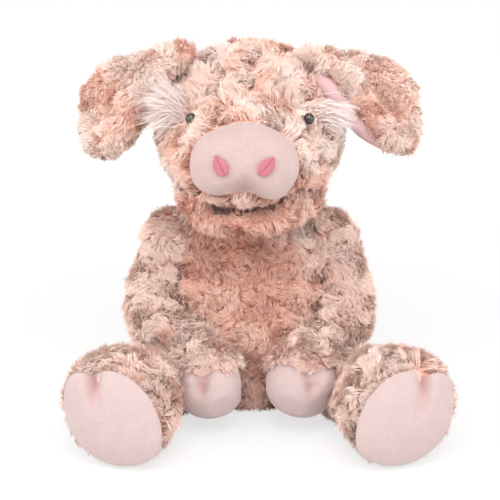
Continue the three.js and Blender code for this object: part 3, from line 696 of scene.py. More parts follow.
def grow_pile(cloth, count, seed, comb, body, length=PILE_LENGTH, weight=None, shade=None,
              trim=None):
    """Covers a cloth form with locks, as panels that each stay light enough."""
    draws = np.random.default_rng(seed)
    triangles = triangles_of(cloth)
    middles = triangles[0].mean(1)
    share = np.ones(len(middles)) if weight is None else weight(middles)
    clump_place, clump_normal = scattered(triangles, share, count // LOCKS_PER_CLUMP, draws)
    lean, shift = clump_directions(clump_place, clump_normal, comb, draws)
    clump_tone = np.array([tone_at(place) for place in clump_place]) + shift
    if shade is not None:
        clump_tone = shade(clump_place, clump_tone)
    clump_length = length * draws.uniform(*CLUMP_LENGTH, len(clump_place))
    if trim is not None:
        clump_length = clump_length * trim(clump_place)
    rise = np.clip(draws.normal(PILE_LIFT, LIFT_STRAY, len(clump_place)), *LIFT_ENDS)[:, None]
    reach = clump_length[:, None]
    clump_tip = clump_place + (lean * np.cos(rise) + clump_normal * np.sin(rise)) * reach
    root, normal = scattered(triangles, share, count, draws)
    owner = nearest(root, clump_place)
    own = reach[owner] * draws.uniform(*LOCK_LENGTH, (count, 1))
    step = lean[owner] * np.cos(rise[owner]) + normal * np.sin(rise[owner])
    loose = draws.normal(0, LOCK_STRAY, (count, 3)) * own
    tip = (root + step * own) * (1 - CLUMP_SHARE) + clump_tip[owner] * CLUMP_SHARE + loose
    bend = normal * own * BEND_RISE + draws.normal(0, BEND_STRAY, (count, 3)) * own
    wide = LOCK_WIDTH * draws.uniform(*WIDTH_RANGE, (count, 1))
    points = lock_points(root, normal, tip, bend, wide, TIP_SPREAD, draws)
    points[..., 2] = np.maximum(points[..., 2], FLOOR_GAP)
    tone = clump_tone[owner] + draws.normal(0, TONE_STRAY, count)
    panels = math.ceil(count / PANEL_LOCKS)
    order = np.argsort(np.arctan2(root[:, 0], -root[:, 1])) if panels > 1 else np.arange(count)
    for index, chosen in enumerate(np.array_split(order, panels)):
        name = f"{cloth.name}_pile_{index + 1}" if panels > 1 else f"{cloth.name}_pile"
        panel = lock_mesh(name, points[chosen], tone[chosen])
        panel.data.materials.append(pile_material)
        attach(panel, body)
    print(cloth.name, "pile:", count, "locks in", panels, "panels")


# %% [markdown]
# ## Distances and combs
# Pile may grow only where nothing covers the cloth, so its places are tested against the surfaces
# of the other pieces. A comb says which way the pile is brushed at each place.

# %% Distances and combs
def surface_tree(piece):
    """A search tree of a piece's surface."""
    polygons = [tuple(polygon.vertices) for polygon in piece.data.polygons]
    return BVHTree.FromPolygons(places_of(piece).tolist(), polygons)


def hull_tree(piece):
    """A search tree of the tight wrapping round a piece, which has no hollow."""
    mesh = bmesh.new()
    for place in places_of(piece):
        mesh.verts.new(place)
    bmesh.ops.convex_hull(mesh, input=mesh.verts)
    bmesh.ops.recalc_face_normals(mesh, faces=mesh.faces)
    tree = BVHTree.FromBMesh(mesh)
    mesh.free()
    return tree


def depth_in(places, tree):
    """How deep each place lies inside the closed surface, negative outside."""
    found = np.empty(len(places))
    for index, place in enumerate(places):
        near, normal, _, _ = tree.find_nearest(place)
        found[index] = (near - Vector(place)).dot(normal)
    return found


def gap_to_path(places, path):
    """Distance from each place to the nearest point of a path, and that stretch's direction."""
    best = np.full(len(places), np.inf)
    direction = np.zeros_like(places)
    for start, end in zip(path[:-1], path[1:]):
        start, step = np.array(start), np.array(end) - np.array(start)
        share = np.clip((places - start) @ step / (step @ step), 0, 1)
        gap = np.linalg.norm(places - start - share[:, None] * step, axis=1)
        nearer = gap < best
        best[nearer] = gap[nearer]
        direction[nearer] = step
    return best, direction


def comb_along(path):
    """A comb that follows a path."""
    return lambda places, normals: unit(gap_to_path(places, path)[1])


def comb_to_rim(path, out):
    """A comb that follows a path, and round its flat end leads straight outwards."""
    def comb(places, normals):
        along = unit(gap_to_path(places, path)[1])
        away = places - path[-1]
        ahead = away @ np.array(out)
        outwards = unit(away - ahead[:, None] * np.array(out))
        near = ramp(ahead, -RIM_REACH, RIM_FADE)[:, None]
        return along * (1 - near) + outwards * near + normals * RIM_RISE
    return comb


def colour_backing(cloth, shade=None):
    """Stores the tone on the cloth, so that it has the colour of the roots above it."""
    places = places_of(cloth)
    tones = np.array([tone_at(place) for place in places], np.float32)
    if shade is not None:
        tones = shade(places, tones).astype(np.float32)
    store(cloth, "tone", tones)


# %% [markdown]
# ## The padded cloth forms
# Each bag of the toy, its skin and its filling together, becomes one form. It is drawn in by the
# height of the pile, so that the fur's own surface ends where the CAD solid's does, and pressed
# outwards by simulation.

# %% The padded cloth forms
PILE_RISE = 4.5 * MM
FORM_CELL = 4 * MM
FIRST_CELL = 0.75 * FORM_CELL
MOST_SWELL = 3 * MM
BALL_POINTS = 32
BALL_RINGS = 18


def ball(centre, half_sizes):
    """A stretched ball, to be joined into a sewn form."""
    bpy.ops.object.select_all(action="DESELECT")
    bpy.ops.mesh.primitive_uv_sphere_add(
        segments=BALL_POINTS, ring_count=BALL_RINGS, radius=1, location=centre
    )
    made = bpy.context.object
    made.scale = half_sizes
    bpy.ops.object.transform_apply(location=True, rotation=True, scale=True)
    return made


def cloth_form(name, nodes, extra=(), cap=MOST_SWELL, inset=PILE_RISE, soften=4):
    """A padded form from the CAD solids of one bag."""
    form = joined(cad_copy(name, *nodes), extra) if nodes else joined(extra[0], extra[1:])
    form.name = name
    remeshed(form, FIRST_CELL)
    smoothed(form, soften)
    swollen(form, -inset)
    remeshed(form, FORM_CELL)
    smoothed(form, 2)
    stuffed(form, cap)
    smoothed(form, 1)
    return shade_smooth(form)


def finished_form(form, body, node, shade=None):
    """Dyes a cloth form and puts it on its body."""
    colour_backing(form, shade)
    dressed(form, backing_material, body, node)


# %% [markdown]
# ## Torso
# The torso is a bag that is widest at the hips. Its pile is combed down, as a maker brushes it.

# %% Torso
BRUSHED_WAY = np.array((0.0, -0.25, -1.0))


def downward(places, normals):
    """Comb direction: down and a little forwards."""
    return np.broadcast_to(BRUSHED_WAY, places.shape)


torso_cloth = cloth_form("torso_cloth", ["torso_skin", "torso_stuffing"])
torso_tree = surface_tree(torso_cloth)
finished_form(torso_cloth, "torso", "torso_skin")

# %% [markdown]
# ## Head
# The skull and the muzzle are one bag. A lip hangs under the snout, and a jaw juts out below it.
# Between them the cloth is pulled in along a smiling crease, which makes the mouth, and painted
# shade darkens the crease. The muzzle looks a little to one side.

# %% Head
LIP_CENTRE = np.array((-3, -80, 178)) * MM
LIP_HALF = np.array((22, 13, 8)) * MM
JAW_CENTRE = np.array((-2, -57, 161)) * MM
JAW_HALF = np.array((42, 33, 17)) * MM
MOUTH = np.array((
    (-26, -78.5, 171.5), (-15, -84, 168.2), (-3.5, -86, 168.5),
    (8.4, -85, 170), (17.6, -82, 173), (25.5, -76, 176), (31, -71, 180),
)) * MM
MOUTH_DEPTH = 11 * MM
MOUTH_WIDTH = 6 * MM
MOUTH_PUSH = (0, 1, 0.15)
# The push reaches its full depth between these distances in front of the neck.
PUSH_START = 30 * MM
PUSH_SPAN = 15 * MM
# Painted shade in the mouth's crease: the pile and the bare cloth there are darkened.
MOUTH_SHADE_WIDTH = 3.6 * MM
# How wide the painted shade of the mouth is, in shares of the width above, at these places in mm
# from the middle.
SHADE_PLACES = (-29, -24, -11, 3, 18, 25)
SHADE_WIDTHS = (0.1, 1.6, 1.2, 0.75, 0.6, 0.1)
# The tones of the painted shade in the crease, for the pile and for the bare cloth.
MOUTH_SHADE_TONE = 0.06
MOUTH_CLOTH_SHADE_TONE = 0.04
# The jaw and the lip are painted redder and darker, as shade under the snout and next to the
# mouth, by these shares.
JAW_SHADE_TONE = 0.87
JAW_TOP = 176 * MM
JAW_FADE = 12 * MM
JAW_REACH = 50 * MM
JAW_SHARE = 0.65
LIP_SHARE = 0.85
LIP_WIDTH = 10 * MM
HEAD_RISE = 0.01
FACE_FRONT = -45 * MM
FAR = 1.0
# Flattens the depth, so that a gap is measured as the front view shows it.
AS_SEEN = (1, 0, 1)
EYE_CENTRES = np.array(((37, -54, 230), (-37, -54, 230))) * MM
SNOUT_MIDDLE = np.array((-4, -92, 203)) * MM
MUZZLE_TURN = -4 * MM
MUZZLE_START = 40 * MM
MUZZLE_SPAN = 45 * MM


def turn_muzzle(piece):
    """Shifts the front of the head a little to one side, smoothly from the eyes forwards."""
    places = places_of(piece)
    share = ramp(-places[:, 1], MUZZLE_START, MUZZLE_SPAN)
    places[:, 0] += MUZZLE_TURN * share * share * (3 - 2 * share)
    set_places(piece, places)
    return piece


def creased(piece, path, depth, width, push=None):
    """Pulls the surface in along a path, or along one way, and stores how deep the fold is.
    A velour darkens its folds by this depth, as painted shade.
    """
    places = places_of(piece)
    path = np.array(path)
    if push is None:
        fall = fading(gap_to_path(places, path)[0], width)
        move = -normals_of(piece)
    else:
        seen = gap_to_path(places * AS_SEEN, path * AS_SEEN)[0]
        fall = fading(seen, width) * ramp(-places[:, 1], PUSH_START, PUSH_SPAN)
        move = np.broadcast_to(np.array(push), places.shape)
    set_places(piece, places + move * (fall * depth)[:, None])
    store(piece, "fold", fall)
    return piece


def mouth_gap(places):
    """How far each place is from the mouth, as seen from the front."""
    flat = gap_to_path(places * AS_SEEN, MOUTH * AS_SEEN)[0]
    return np.where(places[:, 1] < FACE_FRONT, flat, FAR)


def head_shade(places, tone):
    """Painted shade: dark pile in the mouth's crease, widest at one end, and a darker, redder jaw
    and lip.
    """
    jaw = ramp(-places[:, 2], -JAW_TOP, JAW_FADE) * ramp(-places[:, 1], 0, JAW_REACH)
    gap = mouth_gap(places)
    share = np.maximum(JAW_SHARE * jaw, LIP_SHARE * fading(gap, LIP_WIDTH))
    dark = MOUTH_SHADE_WIDTH * np.interp(places[:, 0] / MM, SHADE_PLACES, SHADE_WIDTHS)
    return np.where(gap < dark, MOUTH_SHADE_TONE, tone + HEAD_RISE + (JAW_SHADE_TONE - tone) * share)


def backing_shade(places, tone):
    """The bare cloth has painted shade in the mouth, and elsewhere the colour of the pile."""
    dark = mouth_gap(places) < 2 * MOUTH_SHADE_WIDTH
    return np.where(dark, MOUTH_CLOTH_SHADE_TONE, head_shade(places, tone))


lip, jaw = ball(LIP_CENTRE, LIP_HALF), ball(JAW_CENTRE, JAW_HALF)
head_cloth = cloth_form("head_cloth", ["head_skin", "head_stuffing"], [lip, jaw])
turn_muzzle(head_cloth)
creased(head_cloth, MOUTH, MOUTH_DEPTH, MOUTH_WIDTH, MOUTH_PUSH)
smoothed(head_cloth, 1)
finished_form(head_cloth, "head", "head_skin", backing_shade)

# %% [markdown]
# ## Arms and legs
# The arms bend forwards and end in velour hooves, and the pile of the sleeve hangs over their top.
# A ball at the shoulder keeps the arm joined to the torso by eye when it is raised.

# %% Arms and legs
SHOULDER_MIDDLE = np.array((60, 4, 122)) * MM
SHOULDER_HALF = np.array((26, 24, 27)) * MM
ARM_PATHS = {
    "left": np.array(((57, 5, 141), (71, -14, 70), (47, -64, 46), (30, -107, 26))) * MM,
    "right": np.array(((-57, 5, 141), (-71, -14, 70), (-41, -64, 46), (-18, -107, 26))) * MM,
}
LEG_PATHS = {
    "left": np.array(((46, -12, 27), (78, -62, 28), (107, -139, 39))) * MM,
    "right": np.array(((-46, -12, 27), (-75, -62, 28), (-101, -139, 39))) * MM,
}
HOOF_MIDDLES = {"left": np.array((42, -84, 40)) * MM, "right": np.array((-29, -84, 39)) * MM}
HOOF_STRETCH = (1.14, 1.0, 1.0)
CUFF_NORMAL = (0.25, -0.55, -0.8)
CUFF_PAST = -1 * MM
CUFF_RISE = 6 * MM
ARM_INSET = 3.5 * MM


def hoof_form(name, side):
    """A full copy of the hoof without its hollow, widened to the photograph's round pad."""
    stretch = {"value": HOOF_STRETCH, "center_override": tuple(HOOF_MIDDLES[side])}
    form = edited(cad_copy(name, f"hoof_{side}"), (bpy.ops.mesh.convex_hull, {}))
    return edited(form, (bpy.ops.transform.resize, stretch))


def cuff_form(side):
    """The part of the sleeve that covers the top of the hoof."""
    form = swollen(hoof_form(f"cuff_{side}", side), CUFF_RISE)
    normal = Vector((-CUFF_NORMAL[0] * TURNS[side], CUFF_NORMAL[1], CUFF_NORMAL[2])).normalized()
    place = Vector(HOOF_MIDDLES[side]) + normal * CUFF_PAST
    cut = {"plane_co": place, "plane_no": normal, "clear_outer": True, "use_fill": True}
    return edited(form, (bpy.ops.mesh.bisect, cut))


limb_cloths = {}
for side in ("left", "right"):
    shoulder = ball(SHOULDER_MIDDLE * (TURNS[side], 1, 1), SHOULDER_HALF)
    arm_nodes = [f"arm_skin_{side}", f"arm_stuffing_{side}"]
    leg_nodes = [f"leg_skin_{side}", f"leg_stuffing_{side}", f"sole_{side}"]
    added_forms = [shoulder, cuff_form(side)]
    arm = cloth_form(f"arm_{side}_cloth", arm_nodes, added_forms, inset=ARM_INSET)
    leg = cloth_form(f"leg_{side}_cloth", leg_nodes)
    limb_cloths[f"arm_{side}"] = arm
    limb_cloths[f"leg_{side}"] = leg
    finished_form(arm, f"arm_{side}", f"arm_skin_{side}")
    finished_form(leg, f"leg_{side}", f"leg_skin_{side}")

# %% [markdown]
# ## Velour
# Velour is knitted cloth with a very short, dense pile. It shows a soft sheen at its edges, faint
# cloudy brushing and no single hairs.

# %% Velour
CLOUD_SCALE = 90
CLOUD_DARK = 0.7
VELOUR_DETAIL = 3
BRUSH_STRETCH = (0.7, 1, 1)
BRUSH_SCALE = 1100
BRUSH_ENDS = (0.38, 0.62)
BRUSH_DARK = 0.15
NAP_SCALE = 1400
NAP_HEIGHT = 0.5 * MM


def make_velour_group():
    """Cloudy brushing and fine nap for a velour of any colour, and painted shade in its folds."""
    group, start, end = new_group(
        "Brushed velour",
        [
            ("Color", "NodeSocketColor", (0.8, 0.7, 0.7, 1)),
            ("Shadow", "NodeSocketColor", (0.7, 0.6, 0.6, 1)),
            ("Nap", "NodeSocketFloat", 0.4),
            ("Fold", "NodeSocketFloat", 0.0),
            ("Fold Color", "NodeSocketColor", (0.6, 0.4, 0.4, 1)),
        ],
        [("Color", "NodeSocketColor"), ("Normal", "NodeSocketVector")],
    )
    place = own_place(group)
    inputs = {0: place, 1: BRUSH_STRETCH}
    stretched = added(group, "ShaderNodeVectorMath", inputs, operation="MULTIPLY").outputs[0]
    brush = noise_over(group, stretched, BRUSH_SCALE)
    streak = mapped(group, brush, BRUSH_ENDS, (0.0, BRUSH_DARK))
    cloud = noise_over(group, place, CLOUD_SCALE, VELOUR_DETAIL)
    share = calculated(group, "MULTIPLY", cloud, CLOUD_DARK)
    shadow = start.outputs["Shadow"]
    colour = mix_colours(group, "MIX", share, start.outputs["Color"], shadow)
    worn = mix_colours(group, "MULTIPLY", streak, colour, shadow)
    nap = noise_over(group, place, NAP_SCALE, VELOUR_DETAIL)
    height = calculated(group, "ADD", nap, brush)
    # The fold colour is painted shade in a fold, and on a nostril the colour of its stitched line.
    folded = mix_colours(group, "MIX", start.outputs["Fold"], worn, start.outputs["Fold Color"])
    raised = bumped(group, height, start.outputs["Nap"], NAP_HEIGHT)
    fed(group, end, {"Color": folded, "Normal": raised})
    return group


velour_group = make_velour_group()


def velour_material(name, colour, shadow, fold):
    """A velour in its own colours, deeper in a fold as painted shade, and along a nostril's
    stitched line.
    """
    material, tree, shader = new_material(name, roughness=0.85, sheen=0.5, sheen_roughness=0.4)
    folds = added(tree, "ShaderNodeAttribute", {}, attribute_name="fold")
    brushed = fed(tree, added(tree, "ShaderNodeGroup", {}, node_tree=velour_group), {
        "Color": linear(colour),
        "Shadow": linear(shadow),
        "Fold Color": linear(fold),
        "Fold": folds.outputs["Fac"],
    })
    fed(tree, shader, {"Base Color": brushed.outputs["Color"], "Normal": brushed.outputs["Normal"]})
    return material


# Each velour's own colour, the darker colour of its cloudy mottle, and the colour in its folds:
# painted shade, apart from the rosy nostrils, whose fold colour is their dark stitched line.
snout_velour = velour_material(
    "Snout velour", (0.83, 0.735, 0.715), (0.76, 0.65, 0.63), (0.68, 0.50, 0.47)
)
pad_velour = velour_material(
    "Pad velour", (0.845, 0.76, 0.75), (0.785, 0.685, 0.675), (0.80, 0.63, 0.63)
)
rosy_velour = velour_material(
    "Rosy velour", (0.80, 0.51, 0.55), (0.77, 0.44, 0.49), (0.42, 0.15, 0.18)
)
lining_velour = velour_material(
    "Lining velour", (0.88, 0.74, 0.74), (0.84, 0.68, 0.69), (0.7, 0.5, 0.5)
)

# %% [markdown]
# ## Crowned pads
# The snout's cap and the soles are the same work: cloth cut to an outline, crowned by the filling
# and turned back over an edge. The mesh is laid in rings from the middle to the edge and back
# along the band.

# %% Crowned pads
PAD_POINTS = 96
PAD_RINGS = 12
# Below one, this power sets the rings closer together towards the edge.
RING_POWER = 0.8
# How strongly a pad's dent is darkened by painted shade.
PAD_FOLD = 0.8
OUTLINE_ROUNDS = 2
FRONT_FACING = -0.7
FORWARDS = Vector((0, 1, 0))
AHEAD = -0.3


def closed_outline(points, count):
    """Evenly spaced points of a closed outline, with its corners rounded."""
    loop = np.array(points + points[:1]) * MM
    passed = np.concatenate(((0,), np.cumsum(np.linalg.norm(np.diff(loop, axis=0), axis=1))))
    places = np.linspace(0, passed[-1], count, endpoint=False)
    even = np.stack([np.interp(places, passed, loop[:, axis]) for axis in (0, 1)], 1)
    for _ in range(OUTLINE_ROUNDS):
        even = (np.roll(even, 1, 0) + 2 * even + np.roll(even, -1, 0)) / 4
    return even


def facing(piece):
    """The mean direction of the faces of a piece that look forwards."""
    normals = np.array([polygon.normal[:] for polygon in piece.data.polygons])
    areas = np.array([polygon.area for polygon in piece.data.polygons])
    front = normals[:, 1] < FRONT_FACING
    return unit((normals[front] * areas[front, None]).sum(0)[None])[0]


def ring_faces(rings, points):
    """Faces of a disc that is laid in rings round one middle point."""
    faces = [(0, 1 + i, 1 + (i + 1) % points) for i in range(points)]
    for ring in range(rings - 1):
        first = 1 + ring * points
        for i in range(points):
            after = (i + 1) % points
            faces.append((first + i, first + points + i, first + points + after, first + after))
    return faces


def crowned_pad(name, points, heel, place, out, mirrored, crown, power, band, dent, thick):
    """A pad of this outline. The dent gives the fold at a point, the band lists scale and back."""
    across = unit(np.cross(out, (0, 0, 1))[None])[0]
    across *= np.sign(across[0]) * (-1 if mirrored else 1)
    up = unit(np.cross(across, out)[None])[0]
    up *= np.sign(up[2])
    outline = closed_outline(points, PAD_POINTS)
    heel = np.array(heel) * MM
    flat, height = [heel[None]], [np.full(1, crown)]
    for share in (np.arange(1, PAD_RINGS + 1) / PAD_RINGS) ** RING_POWER:
        flat.append(heel + (outline - heel) * share)
        height.append(np.full(PAD_POINTS, crown * (1 - share ** power)))
    for scale, back in band:
        flat.append(heel + (outline - heel) * scale)
        height.append(np.full(PAD_POINTS, -back))
    flat, height = np.vstack(flat), np.concatenate(height)
    fold, depth = dent(flat)
    height = height - fold * depth
    places = np.array(place) + flat[:, :1] * across + flat[:, 1:] * up + height[:, None] * out
    mesh = bpy.data.meshes.new(name)
    mesh.from_pydata(places.tolist(), [], ring_faces(PAD_RINGS + len(band), PAD_POINTS))
    pad = linked(name, mesh)
    if facing(pad) @ out < 0 or mesh.polygons[0].normal.dot(Vector(out)) < 0:
        mesh.flip_normals()
    # The dent's depth, for the velour's painted shade in it.
    store(pad, "fold", fold * PAD_FOLD)
    modified(pad, "SOLIDIFY", thickness=thick, offset=-1)
    return rounded(pad)


def front_of(node):
    """Where a line from the front first meets a CAD solid, and the way that its front looks."""
    copy = cad_copy(f"{node}_probe", node)
    out = facing(copy)
    low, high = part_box(node)
    middle = (low + high) / 2
    hit = surface_tree(copy).ray_cast(Vector((middle.x, AHEAD, middle.z)), FORWARDS)[0]
    bpy.data.objects.remove(copy)
    return np.array(hit), out


# %% [markdown]
# ## Snout
# The snout is a velour cap sewn over the end of the muzzle: an oval with two lobes below. The
# rosy nostrils are drops of cloth sewn on with a dark stitched line down the middle of each.

# %% Snout
# The outline in mm, seen from the front, anticlockwise from the left.
SNOUT_OUTLINE = (
    (-37.1, -3.0), (-36.7, -9.7), (-35.1, -15.7), (-31.3, -20.4), (-24.2, -23.7), (-16.5, -24.7),
    (-8.8, -23.5), (-3.7, -21.6), (0.1, -20.8), (3.3, -21.4), (6.5, -23.3), (11.0, -26.0),
    (18.1, -27.8), (23.9, -27.0), (28.3, -23.7), (32.8, -17.7), (36.4, -11.0), (37.2, -3.0),
    (34.8, 6.0), (30.3, 12.9), (23.9, 17.9), (14.2, 22.4), (7.8, 24.2), (0.7, 24.4), (-5.0, 24.2),
    (-16.5, 21.5), (-25.5, 16.6), (-30.6, 12.8), (-34.5, 7.9), (-36.3, 2.8),
)
SNOUT_PLACE = np.array((-3.7, -99.5, 208.5)) * MM
SNOUT_BAND = ((1.01, 2 * MM), (1.0, 7 * MM), (0.97, 13 * MM), (0.93, 20 * MM))
SNOUT_CROWN = 12 * MM
SNOUT_POWER = 3.2
SNOUT_CLOTH = 2.4 * MM
SNOUT_NOTCH = np.array((0, -22)) * MM
NOTCH_WIDTH = 9 * MM
NOTCH_SHARE = 0.5
NOTCH_DEPTH = 7 * MM
NOSTRIL_RINGS = 4
NOSTRIL_INSET = 0.2
NOSTRIL_HALF = np.array((4.3, 7.9)) * MM
NOSTRIL_CENTRES = {"left": np.array((11.2, 206.2)) * MM, "right": np.array((-19.6, 206.5)) * MM}
NOSTRIL_TILT = {"left": math.radians(-40), "right": math.radians(26)}
NOSTRIL_POINTS = 48
NOSTRIL_CLOTH = 2.2 * MM
DROP_TAPER = 0.8
DROP_POWER = 1.6
SLIT_SHARPNESS = 5.5
SLIT_REACH = 0.9
SLIT_DEPTH = 1.6 * MM
PATCH_RISE = 0.5 * MM
PATCH_CROWN = 0.9 * MM
PATCH_START = -0.13


def snout_dent(flat):
    """The soft dent above the notch between the two lobes, darkened by painted shade."""
    gap = np.linalg.norm(flat - SNOUT_NOTCH, axis=1)
    return fading(gap, NOTCH_WIDTH) * NOTCH_SHARE, NOTCH_DEPTH


snout = crowned_pad(
    "snout", SNOUT_OUTLINE, (0, 1), SNOUT_PLACE, facing(frame["nodes"]["snout_cover"]), False,
    SNOUT_CROWN, SNOUT_POWER, SNOUT_BAND, snout_dent, SNOUT_CLOTH,
)
dressed(shade_smooth(snout), snout_velour, "head", "snout_cover")


def drop_outline(angle):
    """A point of the nostril's outline, pointed at the top and round below."""
    taper = 1 - DROP_TAPER * max(0.0, math.sin(angle)) ** DROP_POWER
    return math.cos(angle) * taper, math.sin(angle)


def nostril_patch(side):
    """A drop of cloth, laid on the snout and thickened."""
    bpy.ops.object.select_all(action="DESELECT")
    bpy.ops.mesh.primitive_circle_add(vertices=NOSTRIL_POINTS, radius=1, fill_type="NGON")
    patch = bpy.context.object
    patch.name = f"nostril_patch_{side}"
    ring = (bpy.ops.mesh.inset, {"thickness": NOSTRIL_INSET})
    edited(patch, *[ring] * NOSTRIL_RINGS, (bpy.ops.mesh.poke, {}))
    flat = places_of(patch)
    radius = np.linalg.norm(flat[:, :2], axis=1)
    angle = np.arctan2(flat[:, 1], flat[:, 0])
    outline = np.array([drop_outline(a) for a in angle])
    slit = fading(outline[:, 0] * radius * SLIT_SHARPNESS, 1) * (radius < SLIT_REACH)
    x, z = (outline * radius[:, None] * NOSTRIL_HALF).T
    turn = NOSTRIL_TILT[side]
    centre = NOSTRIL_CENTRES[side]
    placed = np.stack((
        centre[0] + x * math.cos(turn) - z * math.sin(turn),
        np.full(len(x), PATCH_START),
        centre[1] + x * math.sin(turn) + z * math.cos(turn),
    ), 1)
    tree = surface_tree(snout)
    for index, place in enumerate(placed):
        hit = tree.ray_cast(Vector(place), FORWARDS)[0]
        rise = PATCH_RISE + PATCH_CROWN * (1 - radius[index] ** 2) - SLIT_DEPTH * slit[index]
        placed[index, 1] = hit.y - rise
    set_places(patch, placed)
    edited(patch, (bpy.ops.mesh.normals_make_consistent, {"inside": False}))
    if facing(patch)[1] > 0:
        patch.data.flip_normals()
    store(patch, "fold", slit)
    modified(patch, "SOLIDIFY", thickness=NOSTRIL_CLOTH, offset=-1)
    rounded(patch)
    shade_smooth(patch)
    return dressed(patch, rosy_velour, "head", f"nostril_{side}")


for side in ("left", "right"):
    nostril_patch(side)

# %% [markdown]
# ## Hooves and soles
# The hooves are round velour pads. The soles are flat ones, wide below and narrow above. A stitch
# pulled tight at the top parts each pad into two toes, and the filling crowns it. Painted shade
# darkens the cleft.

# %% Hooves and soles
PAD_CELL = 2.4 * MM
HOOF_CLEFTS = {
    "right": np.array(((-33, -103, 57), (-34.5, -107, 50), (-36, -108, 44))) * MM,
    "left": np.array(((42, -103, 57), (43.5, -107, 51), (45, -108, 45))) * MM,
}
HOOF_TOES = {"right": np.array((-42, -95, 46)) * MM, "left": np.array((54, -95, 46)) * MM}
HOOF_TOE_HALF = np.array((9, 11, 10)) * MM
HOOF_ROUNDS = 10
HOOF_CLEFT_DEPTH = 8 * MM
CLEFT_WIDTH = 4 * MM
# The outline of the right sole in mm, seen from the front, anticlockwise from its outer toe.
SOLE_OUTLINE = (
    (-33.9, 12.4), (-33.8, 2), (-32.6, -7.3), (-28, -17), (-21.8, -25.1), (-13, -31.5),
    (-4.2, -34.6), (4, -35.6), (12.2, -34.6), (21, -31.8), (29.6, -27.1), (35, -21),
    (36.8, -13.6), (36.6, -4.0), (34.6, 5.6), (29.4, 17.5), (20.4, 27.4), (11.4, 33.0),
    (2.6, 35.2), (-5.2, 34.2), (-8.8, 29.6), (-10.9, 23.4), (-13.2, 27.4), (-17.5, 31.6),
    (-23.5, 31.8), (-29.0, 28.0), (-32.4, 21.0),
)
SOLE_CROWN = 7 * MM
SOLE_CLEFT = np.array(((-10.9, 0, 34), (-10.4, 0, 22), (-9.6, 0, 4))) * MM
SOLE_BAND = ((1.0, 2 * MM),)
SOLE_POWER = 2.4
SOLE_CLOTH = 4 * MM
SOLE_CLEFT_DEPTH = 9 * MM
CLEFT_END = 2 * MM
CLEFT_FADE = 24 * MM

for side in ("left", "right"):
    hoof = joined(hoof_form(f"hoof_{side}_velour", side), [ball(HOOF_TOES[side], HOOF_TOE_HALF)])
    remeshed(hoof, PAD_CELL)
    smoothed(hoof, HOOF_ROUNDS)
    creased(hoof, HOOF_CLEFTS[side], HOOF_CLEFT_DEPTH, CLEFT_WIDTH)
    smoothed(hoof, 1)
    rounded(hoof)
    dressed(shade_smooth(hoof), pad_velour, f"arm_{side}", f"hoof_{side}")


def sole_dent(flat):
    """The cleft between the two toes, which fades out below them, darkened by painted shade."""
    gap = gap_to_path(np.insert(flat, 1, 0, axis=1), SOLE_CLEFT)[0]
    return fading(gap, CLEFT_WIDTH) * ramp(flat[:, 1], CLEFT_END, CLEFT_FADE), SOLE_CLEFT_DEPTH


for side in ("left", "right"):
    sole_place, sole_out = front_of(f"sole_{side}")
    sole = crowned_pad(
        f"sole_{side}_velour", SOLE_OUTLINE, (0, -2), sole_place, sole_out, side == "left",
        SOLE_CROWN, SOLE_POWER, SOLE_BAND, sole_dent, SOLE_CLOTH,
    )
    dressed(shade_smooth(sole), pad_velour, f"leg_{side}", f"sole_{side}")

# %% [markdown]
# ## Eyes
# The eyes are dark plastic beads on a shank that goes through the cloth to a washer.

# %% Eyes
BEAD_CLOUD_SCALE = 260
BEAD_DARK = (0.012, 0.009, 0.008, 1)
BEAD_LIGHT = (0.05, 0.035, 0.028, 1)
BEAD_COAT_ROUGHNESS = 0.04
BEAD_CELL = 0.5 * MM


def bead_material():
    """Near-black brown plastic with a hard gloss and faint clouding."""
    material, tree, shader = new_material("Eye bead", roughness=0.12)
    cloud = noise_over(tree, own_place(tree), BEAD_CLOUD_SCALE)
    fed(tree, shader, {
        "Base Color": mix_colours(tree, "MIX", cloud, BEAD_DARK, BEAD_LIGHT),
        "Coat Weight": 1,
        "Coat Roughness": BEAD_COAT_ROUGHNESS,
        "Specular IOR Level": HARD_SPECULAR,
    })
    return material


bead = bead_material()
for side in ("left", "right"):
    eye = cad_copy(f"eye_{side}_bead", f"eye_{side}")
    remeshed(eye, BEAD_CELL)
    smoothed(eye, 4)
    dressed(shade_smooth(eye), bead, "head", f"eye_{side}")

# %% [markdown]
# ## Ears
# Each ear is a flap of plush that is folded forwards. The fold makes a thick roll from the top of
# the head down to the tip, with a valley behind it. On one ear the velour lining shows below it.

# %% Ears
ROLL_PATHS = {
    "left": (
        (36, -12, 268, 9), (50, -20, 270, 9.5), (62, -26, 265, 9.5), (70, -29, 254, 9.5),
        (79, -30, 239, 9.5), (91, -29, 223, 9.5), (104, -25, 212, 9), (114, -18, 206, 8),
    ),
    "right": (
        (-44, -12, 268, 11), (-59, -22, 270, 12), (-71, -28, 260, 12.5), (-80, -31, 246, 12.5),
        (-87, -31, 231, 12.5), (-96, -29, 217, 12), (-105, -25, 207, 11), (-112, -18, 200, 9),
    ),
}
EAR_ROOT = (40 * MM, 0, 240 * MM)
EAR_SHRINK = (0.99, 0.9, 0.965)
EAR_BACK = (0, 3 * MM, 0)
EAR_VALLEYS = {
    "right": (
        (-74, -10, 274), (-81, -14, 266), (-88, -16, 254), (-95, -16, 241), (-101, -15, 229),
        (-106, -13, 220), (-110, -11, 211),
    ),
    "left": (
        (76, -10, 274), (84, -14, 262), (92, -16, 250), (100, -16, 238), (107, -15, 226),
        (113, -13, 216), (118, -11, 208),
    ),
}
VALLEY_DEPTH = 4 * MM
VALLEY_WIDTH = 5 * MM
EAR_SWELL = 1 * MM
EAR_INSET = 1.5 * MM
LINING_CELL = 1.8 * MM
LINING_INSET = 0.8 * MM
ROLL_SIDES = 5
ROLL_ORDER = 4
